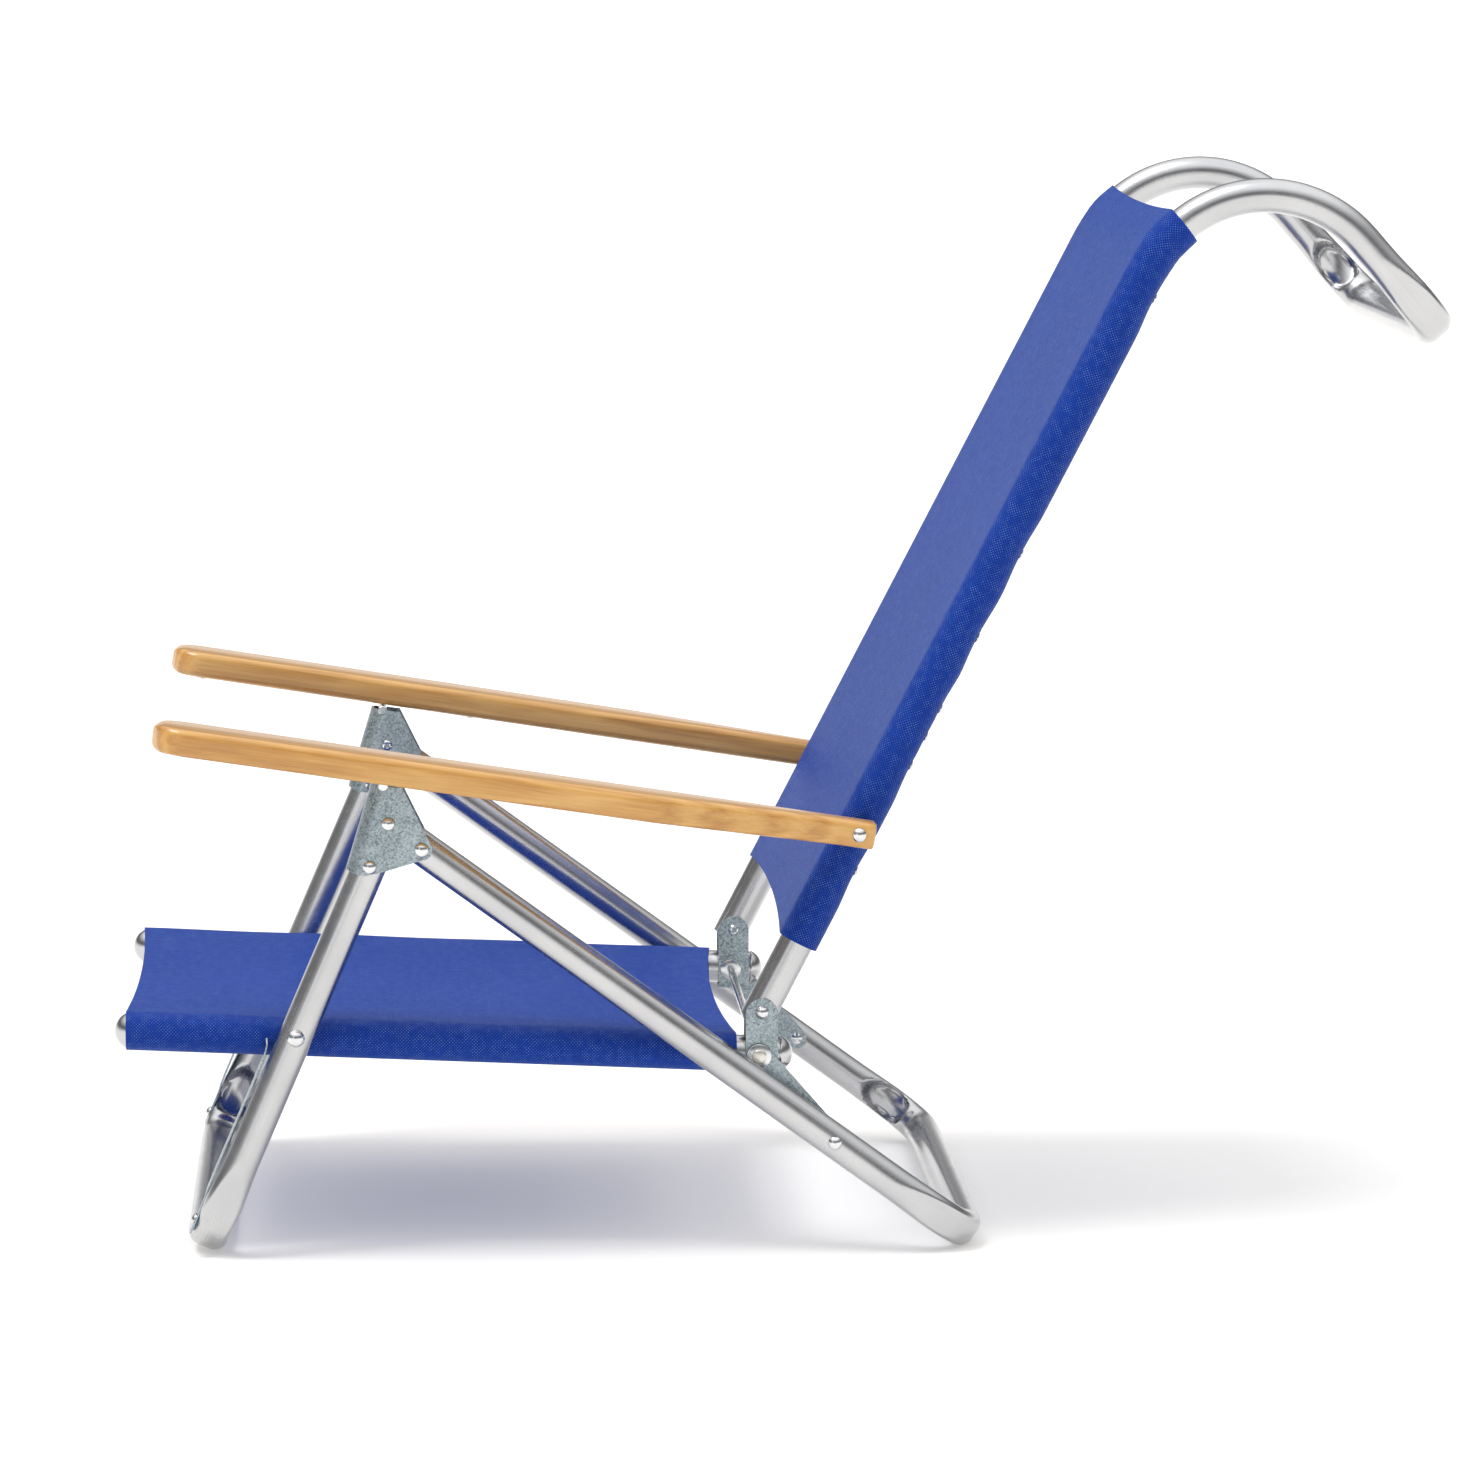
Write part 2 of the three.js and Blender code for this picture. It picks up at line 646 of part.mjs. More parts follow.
function armBoard() {
  const [rear, front] = [-12, 522];
  const bevel = 5;
  const outline = new THREE.Shape();
  outline.moveTo(rear + bevel, ARM_INNER_X + bevel);
  outline.lineTo(151, ARM_INNER_X + bevel);
  outline.lineTo(498, 231 + bevel);
  outline.quadraticCurveTo(front - bevel, 233 + bevel, front - bevel, 256);
  outline.quadraticCurveTo(front - bevel, 289 - bevel, 494, 289 - bevel);
  outline.lineTo(151, 277 - bevel);
  outline.lineTo(14, 250 - bevel);
  outline.lineTo(rear + bevel, 250 - bevel);
  const board = new THREE.ExtrudeGeometry(outline, {
    depth: ARM_THICKNESS - 2 * bevel,
    bevelEnabled: true,
    bevelThickness: bevel,
    bevelSize: bevel,
    bevelSegments: 2,
    curveSegments: 5,
  });
  board.translate(0, 0, -ARM_THICKNESS / 2 + bevel);
  const groove = box(TRACK.from - GAP, TRACK.to + GAP, TRACK.x - TRACK.width / 2 - GAP,
    TRACK.x + TRACK.width / 2 + GAP, armUnder - 1, armUnder + TRACK.depth + GAP);
  const bolt = new THREE.CylinderGeometry(ARM_BOLT_RADIUS + HOLE_CLEARANCE, ARM_BOLT_RADIUS + HOLE_CLEARANCE,
    80, 12);
  bolt.translate(0, 240, 0);
  const shaped = subtract(board, groove, bolt,
    ...TRACK_SCREWS.map(armScrewHole));
  return shaped.applyMatrix4(ARM_TO_WORLD);
}

// A strip let into the arm's underside, with a row of notches that the bracket's pin lies under.
function armTrack() {
  const strip = box(TRACK.from, TRACK.to, TRACK.x - TRACK.width / 2, TRACK.x + TRACK.width / 2,
    armUnder, armUnder + TRACK.depth);
  const notches = [];
  for (let i = 0; i < NOTCH_COUNT; i++) {
    const notch = new THREE.CylinderGeometry(4.5, 4.5, 40, 12);
    const at = BRACKET_PIN_ALONG_ARM + i * NOTCH_PITCH;
    notches.push(notch.translate(at, TRACK.x, armUnder - 1.6));
  }
  return subtract(strip, ...notches, ...TRACK_SCREWS.map(armScrewHole)).applyMatrix4(ARM_TO_WORLD);
}

function armScrew(at) {
  const seat = armUnder - GAP;
  const profile = [[13, 0], [13, 1.9], [0, 1.9], [0, 4.6], [-2, 3.6], [-2.8, 0]];
  const points = profile.map(([height, r]) => new THREE.Vector2(r, -(seat + height)));
  const geometry = new THREE.LatheGeometry(points, 10);
  geometry.rotateX(-Math.PI / 2);
  geometry.translate(at, TRACK.x, 0);
  return geometry.applyMatrix4(ARM_TO_WORLD);
}

addPair('arm', armBoard(), wood);
addPair('arm_track', armTrack(), zinc);
TRACK_SCREWS.forEach((at, i) => addPair(`arm_screw_${i === 0 ? 'rear' : 'front'}`, armScrew(at), zinc));

// The bolt passes through the arm, the sling's edge and the back tube.
function armBolt() {
  return turned([
    [RAIL_X - TUBE_RADIUS - GAP - 3, 0],
    [RAIL_X - TUBE_RADIUS - GAP - 3, 5],
    [RAIL_X - TUBE_RADIUS - GAP, 5],
    [RAIL_X - TUBE_RADIUS - GAP, ARM_BOLT_RADIUS],
    [250 + GAP, ARM_BOLT_RADIUS],
    [250 + GAP, RIVET_HEAD],
    [250 + GAP + 1.6, RIVET_HEAD * 0.8],
    [250 + GAP + 2.8, 0],
  ], armPivot);
}

addPair('arm_pivot_bolt', armBolt(), steel);

export default chair;
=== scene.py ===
"""Looks for the low folding beach chair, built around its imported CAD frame."""

import math

import bmesh
import bpy
import numpy as np
from mathutils import Matrix, Vector


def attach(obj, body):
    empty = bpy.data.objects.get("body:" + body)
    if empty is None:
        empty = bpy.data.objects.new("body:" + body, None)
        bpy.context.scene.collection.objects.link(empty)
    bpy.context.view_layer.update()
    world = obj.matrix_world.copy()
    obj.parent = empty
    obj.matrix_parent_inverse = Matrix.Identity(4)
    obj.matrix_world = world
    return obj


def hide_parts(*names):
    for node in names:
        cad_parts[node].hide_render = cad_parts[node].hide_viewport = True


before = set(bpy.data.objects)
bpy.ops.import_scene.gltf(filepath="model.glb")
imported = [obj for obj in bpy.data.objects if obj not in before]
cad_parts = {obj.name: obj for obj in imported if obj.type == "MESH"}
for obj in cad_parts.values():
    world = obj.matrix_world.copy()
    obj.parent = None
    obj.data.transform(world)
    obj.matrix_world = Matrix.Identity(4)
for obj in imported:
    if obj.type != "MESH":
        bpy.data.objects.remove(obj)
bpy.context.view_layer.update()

# ---------------------------------------------------------------- the part's own dimensions, mm

R = 12.7
RAIL_X = 210.0
LEG_X = 240.0
LEG_PIVOT = (-360.9, 165.5)
REAR_AXLE = (-20.3, 145.5)
BRACKET_PIVOT = (-268.4, 304.2)
BACK_PIVOT = (-18.0, 177.5)
FRONT_ANGLE = 66.6
REAR_ANGLE = -36.0
BACK_ANGLE = 62.6
RAIL_TILT = -2.5
FOOT_HEIGHT = 12.2
BEND_RADIUS = 38.0
HOOK_RADIUS = 96.0
HOOK_SWEEP = 111.5
ARM_TILT = 8.65
RAIL_FRONT, RAIL_REAR = -484.4, -5
SIDES = {"left": 1, "right": -1}


def rad(degrees):
    return math.radians(degrees)


def along(point, angle, distance):
    return (point[0] + distance * math.cos(rad(angle)), point[1] + distance * math.sin(rad(angle)))


def rail_height(y):
    return REAR_AXLE[1] + (y - REAR_AXLE[0]) * math.tan(rad(RAIL_TILT))


FRONT_FOOT = along(LEG_PIVOT, FRONT_ANGLE, -(LEG_PIVOT[1] - FOOT_HEIGHT) / math.sin(rad(FRONT_ANGLE)))
REAR_FOOT = along(BRACKET_PIVOT, REAR_ANGLE, (BRACKET_PIVOT[1] - FOOT_HEIGHT) / math.sin(rad(-REAR_ANGLE)))
LINK_PIVOT = along(BRACKET_PIVOT, REAR_ANGLE, 374)
RIVET_TOP = along(LEG_PIVOT, FRONT_ANGLE, 172)
RIVET_BOTTOM = along(LEG_PIVOT, FRONT_ANGLE, 137.5)
ARM_PIVOT = along(BACK_PIVOT, BACK_ANGLE, 152)
ARM_ANGLE = 180 - ARM_TILT
REST_PIN = along(along(ARM_PIVOT, ARM_ANGLE, 350), ARM_ANGLE + 90, 14)
BACK_STRAIGHT = 617.6
HOOK_START = along(BACK_PIVOT, BACK_ANGLE, BACK_STRAIGHT)
HOOK_CENTRE = along(HOOK_START, BACK_ANGLE - 90, HOOK_RADIUS)

# ---------------------------------------------------------------- materials


class Tree:
    """A material's node tree with short ways to add and link nodes."""

    def __init__(self, name):
        self.material = bpy.data.materials.new(name)
        self.material.use_nodes = True
        self.tree = self.material.node_tree
        self.shader = self.tree.nodes["Principled BSDF"]

    def add(self, kind, inputs=(), **settings):
        node = self.tree.nodes.new("ShaderNode" + kind)
        for key, value in settings.items():
            setattr(node, key, value)
        for key, value in dict(inputs).items():
            self.put(node.inputs[key], value)
        return node.outputs[0]

    def put(self, socket, value):
        if isinstance(value, bpy.types.NodeSocket):
            self.tree.links.new(value, socket)
        else:
            socket.default_value = value

    def set(self, **values):
        for key, value in values.items():
            self.put(self.shader.inputs[key.replace("_", " ")], value)

    def coords(self, which):
        node = self.tree.nodes.new("ShaderNodeTexCoord")
        return node.outputs[which]

    def mapped(self, vector, scale=(1, 1, 1), rotation=(0, 0, 0)):
        return self.add("Mapping", {"Vector": vector, "Scale": scale, "Rotation": rotation})

    def noise(self, vector, scale, detail=3.0, rough=0.5, distortion=0.0):
        return self.add("TexNoise", {"Vector": vector, "Scale": scale, "Detail": detail,
                                     "Roughness": rough, "Distortion": distortion})

    def spread(self, value, low, high, from_low=0.0, from_high=1.0):
        return self.add("MapRange", {"Value": value, "From Min": from_low, "From Max": from_high,
                                     "To Min": low, "To Max": high})

    def ramp(self, value, stops):
        node = self.tree.nodes.new("ShaderNodeValToRGB")
        self.tree.links.new(value, node.inputs[0])
        elements = node.color_ramp.elements
        while len(elements) < len(stops):
            elements.new(0.5)
        for element, (at, colour) in zip(elements, stops):
            element.position = at
            element.color = (*colour, 1)
        return node.outputs[0]

    def mix(self, factor, a, b):
        node = self.tree.nodes.new("ShaderNodeMix")
        node.data_type = "RGBA"
        self.put(node.inputs[0], factor)
        self.put(node.inputs[6], a if isinstance(a, bpy.types.NodeSocket) else (*a, 1))
        self.put(node.inputs[7], b if isinstance(b, bpy.types.NodeSocket) else (*b, 1))
        return node.outputs[2]

    def math(self, operation, a, b=0.0):
        return self.add("Math", {0: a, 1: b}, operation=operation)

    def bump(self, height, strength, distance):
        node = self.tree.nodes.new("ShaderNodeBump")
        node.inputs["Strength"].default_value = strength
        node.inputs["Distance"].default_value = distance
        self.tree.links.new(height, node.inputs["Height"])
        self.tree.links.new(node.outputs[0], self.shader.inputs["Normal"])


def aluminium(name, low=0.16, high=0.32):
    """Drawn tube: fine lines along its length, soft blotches and a few scuffs."""
    t = Tree(name)
    lines = t.noise(t.mapped(t.coords("UV"), (90, 2.5, 1)), 4.0, 5, 0.6)
    blotch = t.noise(t.coords("Object"), 14, 3)
    scuff = t.noise(t.mapped(t.coords("Object"), (1, 1.4, 2.2)), 55, 6, 0.65, 0.4)
    both = t.math("ADD", t.math("MULTIPLY", lines, 0.6), t.math("MULTIPLY", blotch, 0.4))
    t.set(Base_Color=t.mix(t.spread(both, 0, 1, 0.3, 0.7), (0.44, 0.445, 0.455), (0.62, 0.622, 0.63)),
          Metallic=1.0,
          Roughness=t.spread(t.math("ADD", both, t.math("MULTIPLY", scuff, 0.35)), low, high, 0.45, 0.9))
    t.bump(t.math("ADD", lines, t.math("MULTIPLY", scuff, 0.5)), 0.10, 0.0002)
    return t.material


def zinc(name, dark, light, spangle):
    """Zinc-plated sheet: crystals of slightly different brightness, with a cloudy bloom."""
    t = Tree(name)
    place = t.coords("Object")
    cells = t.add("TexVoronoi", {"Vector": place, "Scale": spangle, "Randomness": 1.0}, feature="F1")
    node = cells.node
    grey = t.add("RGBToBW", {0: node.outputs["Color"]})
    cloud = t.noise(place, 38, 4, 0.6)
    speck = t.noise(place, 1300, 2, 0.6)
    tone = t.math("ADD", t.math("MULTIPLY", grey, 0.35),
                  t.math("ADD", t.math("MULTIPLY", cloud, 0.35), t.math("MULTIPLY", speck, 0.4)))
    t.set(Base_Color=t.mix(t.spread(tone, 0, 1, 0.35, 0.72), dark, light), Metallic=1.0,
          Roughness=t.spread(tone, 0.24, 0.46, 0.35, 0.75))
    t.bump(t.math("ADD", grey, t.math("MULTIPLY", speck, 0.6)), 0.12, 0.0002)
    return t.material


def steel(name, colour=(0.80, 0.81, 0.82), low=0.10, high=0.24):
    """Bright plated steel with faint polishing marks and a few dull spots."""
    t = Tree(name)
    marks = t.noise(t.mapped(t.coords("Object"), (1, 3, 3)), 420, 4, 0.6)
    dull = t.noise(t.coords("Object"), 90, 3)
    t.set(Base_Color=t.mix(t.spread(dull, 0, 1, 0.35, 0.7), tuple(0.82 * c for c in colour), colour),
          Metallic=1.0, Roughness=t.spread(t.math("ADD", marks, dull), low, high, 0.7, 1.3))
    t.bump(marks, 0.06, 0.0001)
    return t.material


def varnished_wood(name):
    """Honey-coloured board: long growth bands, fine pores and a clear coat."""
    t = Tree(name)
    board = t.mapped(t.coords("Object"), rotation=(rad(ARM_TILT), 0, 0))
    warp = t.noise(t.mapped(board, (9, 1.6, 9)), 3.0, 3)
    bent = t.add("VectorMath", {0: board, 1: t.add("VectorMath", {0: warp.node.outputs["Color"],
                 1: (0.028, 0.0, 0.028)}, operation="MULTIPLY")}, operation="ADD")
    bands = t.add("TexWave", {"Vector": t.mapped(bent, (1, 0.05, 0.8)), "Scale": 42.0, "Distortion": 3.0,
                              "Detail": 3.0, "Detail Scale": 1.4}, wave_type="BANDS",
                  bands_direction="X")
    pores = t.noise(t.mapped(board, (620, 14, 620)), 1.0, 4, 0.65)
    wide = t.noise(t.mapped(board, (26, 2.4, 26)), 1.0, 3)
    tone = t.math("ADD", t.math("MULTIPLY", bands.node.outputs["Fac"], 0.20),
                  t.math("ADD", t.math("MULTIPLY", pores, 0.52), t.math("MULTIPLY", wide, 0.42)))
    colour = t.ramp(tone, [(0.32, (0.36, 0.155, 0.030)), (0.48, (0.50, 0.240, 0.052)),
                           (0.62, (0.59, 0.310, 0.076)), (0.82, (0.68, 0.395, 0.120))])
    t.set(Base_Color=colour, Roughness=t.spread(pores, 0.30, 0.44), Coat_Weight=0.55,
          Coat_Roughness=0.12, Specular_IOR_Level=0.5)
    t.bump(t.math("ADD", pores, t.math("MULTIPLY", bands.node.outputs["Fac"], 0.3)), 0.10, 0.0002)
    return t.material


def sling_fabric(name, deep, bright, painted_glint, pitch=0.0024):
    """Vinyl-coated mesh: round yarns over and under each other, from the sheet's own lengths, with painted
    light and shade along the yarns and a painted highlight spot on the crown of each yarn."""
    t = Tree(name)
    uv = t.coords("UV")
    split = t.add("SeparateXYZ", {0: uv})
    across, down = split.node.outputs["X"], split.node.outputs["Y"]
    turn = 2 * math.pi / pitch
    over = t.math("MULTIPLY", t.math("SINE", t.math("MULTIPLY", across, turn)),
                  t.math("SINE", t.math("MULTIPLY", down, turn)))
    ribs = t.math("MULTIPLY", t.math("SINE", t.math("MULTIPLY", across, turn * 2)), 0.3)
    weave = t.spread(t.math("ADD", over, ribs), 0, 1, -1.2, 1.2)
    slub = t.noise(t.mapped(uv, (14, 330, 1)), 1.0, 3, 0.6)
    warp = t.noise(t.mapped(uv, (330, 14, 1)), 1.0, 3, 0.6)
    patch = t.noise(t.coords("Object"), 160, 2, 0.6)
    fade = t.noise(t.coords("Object"), 6, 3)
    # partly painted light: the weave term paints light on the yarn crowns and painted shade between the
    # yarns; slub, warp and fade are the cloth's own random tone
    tone = t.math("ADD", t.math("MULTIPLY", weave, 0.60),
                  t.math("ADD", t.math("MULTIPLY", t.math("ADD", slub, warp), 0.24),
                         t.math("MULTIPLY", fade, 0.14)))
    # painted highlight: pale blue painted into the base colour on the crown of each yarn, in random patches
    crown = t.math("MULTIPLY", t.spread(over, 0, 1, 0.62, 1.0), t.spread(patch, 0.05, 0.85, 0.42, 0.64))
    t.set(Base_Color=t.mix(crown, t.mix(t.spread(tone, 0, 1, 0.22, 0.86), deep, bright), painted_glint),
          Roughness=t.spread(tone, 0.58, 0.44), Specular_IOR_Level=0.12,
          Sheen_Weight=0.07, Sheen_Roughness=0.45, Sheen_Tint=(0.46, 0.80, 0.84, 1))
    t.bump(weave, 0.6, 0.0007)
    return t.material


TUBE = aluminium("drawn_aluminium")
PLUG = aluminium("spun_aluminium", 0.12, 0.24)
ZINC = zinc("zinc_sheet", (0.12, 0.155, 0.175), (0.44, 0.51, 0.54), 760)
STRAP = zinc("zinc_spring", (0.26, 0.33, 0.38), (0.52, 0.60, 0.65), 900)
STEEL = steel("bright_steel")
ROD = steel("axle_steel", (0.74, 0.76, 0.77), 0.14, 0.30)
CAP = steel("cap_steel", (0.80, 0.78, 0.72), 0.28, 0.42)
WOOD = varnished_wood("varnished_beech")
# the first two blues are spread by painted light and shade on the yarns and by random slub; the last colour
# is a painted highlight on the yarn crowns
SLING = sling_fabric("blue_mesh", (0.001, 0.013, 0.14), (0.005, 0.050, 0.37), (0.26, 0.42, 0.76))

# ---------------------------------------------------------------- mesh building


def piece(name, points, faces, material, body, slot, stands_for=(), uv=None, sharp=38):
    """A closed mesh in the CAD frame, given in mm, that rides on a body."""
    mesh = bpy.data.meshes.new(name)
    mesh.from_pydata([tuple(float(c) / 1000 for c in p) for p in points], [], faces)
    if uv is not None:
        layer = mesh.uv_layers.new(name="UVMap")
        flat = [c for face in faces for c in uv(face)]
        layer.data.foreach_set("uv", np.array(flat, np.float32).ravel())
    work = bmesh.new()
    work.from_mesh(mesh)
    bmesh.ops.recalc_face_normals(work, faces=work.faces)
    work.to_mesh(mesh)
    work.free()
    mesh.materials.append(material)
    mesh.shade_smooth()
    mesh.set_sharp_from_angle(angle=rad(sharp))
    made = bpy.data.objects.new(name, mesh)
    bpy.context.scene.collection.objects.link(made)
    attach(made, body)
    if stands_for:
        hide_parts(*stands_for)
    return made


def rings_piece(name, rings, lengths, *rest, **more):
    """A closed skin over a row of rings, each a loop of points, with fans over both ends."""
    rings = [np.asarray(r, float) for r in rings]
    count = len(rings[0])
    points = [p for r in rings for p in r]
    points += [rings[0].mean(0), rings[-1].mean(0)]
    first, last = len(points) - 2, len(points) - 1
    where = {}
    for i, at in enumerate(lengths):
        for j in range(count):
            where[i * count + j] = (j / count, at / 1000)
    where[first], where[last] = (0.5, lengths[0] / 1000), (0.5, lengths[-1] / 1000)
    faces = []
    for i in range(len(rings) - 1):
        for j in range(count):
            k = (j + 1) % count
            faces.append((i * count + j, i * count + k, (i + 1) * count + k, (i + 1) * count + j))
    end = (len(rings) - 1) * count
    for j in range(count):
        k = (j + 1) % count
        faces.append((k, j, first))
        faces.append((end + j, end + k, last))

    def uv(face):
        spots = [where[v] for v in face]
        if max(s[0] for s in spots) - min(s[0] for s in spots) > 0.6:
            spots = [(s[0] + 1 if s[0] < 0.3 else s[0], s[1]) for s in spots]
        return spots

    return piece(name, points, faces, *rest, uv=uv, **more)


def lathe(name, profile, origin, axis, *rest, segments=36, **more):
    """Turns a profile of (distance along the axis, radius) round the axis."""
    axis = np.asarray(axis, float) / np.linalg.norm(axis)
    side = np.cross(axis, (0, 0, 1.0) if abs(axis[2]) < 0.9 else (1.0, 0, 0))
    side /= np.linalg.norm(side)
    other = np.cross(axis, side)
    turns = np.arange(segments) * 2 * math.pi / segments
    wheel = np.outer(np.cos(turns), side) + np.outer(np.sin(turns), other)
    rings = [np.asarray(origin) + axis * at + wheel * max(radius, 0.02) for at, radius in profile]
    return rings_piece(name, rings, [p[0] for p in profile], *rest, **more)


def dome(at, radius, height, steps=7, way=1):
    """The profile of a domed head from its rim to its crown."""
    ball = (radius ** 2 + height ** 2) / (2 * height)
    out = []
    for i in range(steps + 1):
        r = radius * math.cos(i / steps * math.pi / 2)
        out.append((at + way * (math.sqrt(ball ** 2 - r ** 2) - ball + height), r))
    return out


def rivet(name, centre, x_low, x_high, material, body, slot, stands_for, side, head=5.0, low_head=5.0,
          high=3.0, low=2.6, shank=2.5, ring=False):
    """A cross rivet from one end to the other, drawn for the left side and mirrored. Its inner end is
    a domed head, or the rolled ring of a hollow rivet."""
    rim = 0.5
    if ring:
        profile = [(x_low + 1.5, 0.1), (x_low + 1.5, 1.6), (x_low - low * 0.8, 1.8), (x_low - low, 2.5),
                   (x_low - low * 0.8, 3.4), (x_low - rim, 4.0), (x_low, 4.0)]
    else:
        profile = list(reversed(dome(x_low - rim, low_head, low, way=-1))) + [(x_low, low_head)]
    profile += [(x_low, shank), (x_high, shank), (x_high, head)]
    profile += dome(x_high + rim, head, high)
    profile = [(side * at, r) for at, r in profile]
    return lathe(name, profile, (0, *centre), (1, 0, 0), material, body, slot, stands_for)


def slab(name, grid, thickness, *rest, **more):
    """A sheet of even thickness round a grid of points."""
    grid = np.asarray(grid, float)
    rows, cols = grid.shape[:2]
    normal = np.cross(np.gradient(grid, axis=0), np.gradient(grid, axis=1))
    normal /= np.maximum(np.linalg.norm(normal, axis=2, keepdims=True), 1e-9)
    points = np.concatenate([(grid + normal * thickness / 2).reshape(-1, 3),
                             (grid - normal * thickness / 2).reshape(-1, 3)])
    step_r = np.linalg.norm(np.diff(grid, axis=0), axis=2).mean(1)
    step_c = np.linalg.norm(np.diff(grid, axis=1), axis=2).mean(0)
    at_r = np.concatenate([[0], np.cumsum(step_r)]) / 1000
    at_c = np.concatenate([[0], np.cumsum(step_c)]) / 1000
    under = rows * cols

    def index(i, j):
        return i * cols + j

    faces = []
    for i in range(rows - 1):
        for j in range(cols - 1):
            a, b, c, d = index(i, j), index(i + 1, j), index(i + 1, j + 1), index(i, j + 1)
            faces.append((a, b, c, d))
            faces.append((under + d, under + c, under + b, under + a))
    rim = [index(i, 0) for i in range(rows)]
    rim += [index(rows - 1, j) for j in range(1, cols)]
    rim += [index(i, cols - 1) for i in range(rows - 2, -1, -1)]
    rim += [index(0, j) for j in range(cols - 2, 0, -1)]
    for a, b in zip(rim, rim[1:] + rim[:1]):
        faces.append((b, a, under + a, under + b))

    def uv(face):
        return [(at_c[(v % under) % cols], at_r[(v % under) // cols]) for v in face]

    return piece(name, points, faces, *rest, uv=uv, **more)


def smooth(value, low=0.0, high=1.0):
    t = np.clip((value - low) / (high - low), 0, 1)
    return t * t * (3 - 2 * t)


# ---------------------------------------------------------------- tubes

TUBE_RING = 44


def press_ring(flat, since_bend, half_a, half_b):
    """One tube section: (towards the bend's inside, across it). flat goes from round tube to the
    pressed crossbar, and since_bend is how far past the start of the bend the section lies."""
    phi = np.arange(TUBE_RING) * 2 * math.pi / TUBE_RING
    phi = np.where(phi > math.pi, phi - 2 * math.pi, phi)
    power = 2 + 0.3 * flat
    a_half, b_half = R + (half_a - R) * flat, R + (half_b - R) * flat
    c, s = np.cos(phi), np.sin(phi)
    k = (np.abs(c) ** power + np.abs(s) ** power) ** (-1 / power)
    a, b = a_half * k * c, b_half * k * s
    if since_bend is None:
        return a, b
    bowl = 1 - ((since_bend - 8) / 27) ** 2 - (phi / rad(66)) ** 2
    a = a - 9.5 * smooth(bowl, 0, 0.6)
    pinch = 1 - ((since_bend - 36) / 9) ** 2
    a = a + 1.8 * smooth(pinch) * np.exp(-(phi / 0.9) ** 2)
    a = a - 1.6 * flat * smooth(since_bend, 46, 66) * np.exp(-(phi / 0.45) ** 2)
    crush = smooth(since_bend, -34, 12) * (1 - 0.85 * smooth(since_bend, 14, 56))
    return np.maximum(a, -(a_half - 3.6 * crush)), b


def u_frame(name, x, side, corner, angle, material, body, stands_for, half_a=10.4, half_b=14.6):
    """A tube that runs down one side, across a pressed crossbar and up the other side."""
    out = np.array((0, math.cos(rad(angle)), math.sin(rad(angle))))
    bend_start = np.array((x, *corner)) - out * BEND_RADIUS
    stations = [(np.array((x, y, z)), turn, None) for y, z, turn in side]
    last = stations[-1][0]
    gap = np.linalg.norm(bend_start - last)
    fine = min(60.0, gap - 3)
    plain = int(max(gap - fine, 0) // 26)
    for i in range(1, plain + 1):
        stations.append((last + (bend_start - last) * (gap - fine) / gap * i / plain, angle, None))
    for at in np.arange(-fine + 3, 0, 3.0):
        stations.append((bend_start + out * at, angle, at))
    rings, centres = [], []

    def ring(centre, inner, across, flat, since):
        a, b = press_ring(flat, since, half_a, half_b)
        loop = centre + np.outer(a, inner) + np.outer(b, across)
        loop[:, 2] = np.maximum(loop[:, 2], 0.0)
        rings.append(loop)
        centres.append(centre)

    def across_of(turn):
        return np.array((0, -math.sin(rad(turn)), math.cos(rad(turn))))

    for centre, turn, since in stations:
        flat = 0 if since is None else float(smooth(since, -30, 14)) * 0.8
        ring(centre, np.array((-1.0, 0, 0)), across_of(turn), flat, since)
    across = across_of(angle)
    middle = np.array((x - BEND_RADIUS, *corner)) - out * BEND_RADIUS
    arc = BEND_RADIUS * math.pi / 2
    for at in np.arange(0, arc + 0.1, arc / 22):
        t = at / BEND_RADIUS
        centre = middle + out * BEND_RADIUS * math.sin(t) + np.array((BEND_RADIUS * math.cos(t), 0, 0))
        inner = np.array((-math.cos(t), 0, 0)) - out * math.sin(t)
        flat = float(smooth(at, -30, 14)) * 0.8 + 0.2 * float(smooth(at, 14, 50))
        ring(centre, inner, across, flat, at)
    bar = x - BEND_RADIUS
    for at in (3, 7, 12, 20, 32, 50, 75, 105, 140, 175):
        if at < bar:
            ring(np.array((bar - at, *corner)), -out, across, 1.0, arc + at)
    mirror = np.array((-1.0, 1, 1))
    rings += [r * mirror for r in reversed(rings)]
    centres += [c * mirror for c in reversed(centres)]
    steps = [0] + [float(np.linalg.norm(b - a)) for a, b in zip(centres, centres[1:])]
    lengths = list(np.cumsum(steps))
    rings, lengths = open_ends(rings, lengths, centres)
    return rings_piece(name, rings, lengths, material, body, "aluminium_tube", stands_for, sharp=50)


def open_ends(rings, lengths, centres, wall=1.3, deep=26):
    """Gives a tube a cut edge and a bore at both ends."""
    def bore(ring, centre, inward):
        small = centre + (ring - centre) * (1 - wall / R)
        return small, small + inward * deep
    start_in = centres[1] - centres[0]
    end_in = centres[-2] - centres[-1]
    start_in, end_in = start_in / np.linalg.norm(start_in), end_in / np.linalg.norm(end_in)
    lip, floor = bore(rings[0], centres[0], start_in)
    lip_end, floor_end = bore(rings[-1], centres[-1], end_in)
    lengths = [lengths[0] + deep, lengths[0]] + lengths + [lengths[-1], lengths[-1] - deep]
    return [floor, lip] + rings + [lip_end, floor_end], lengths


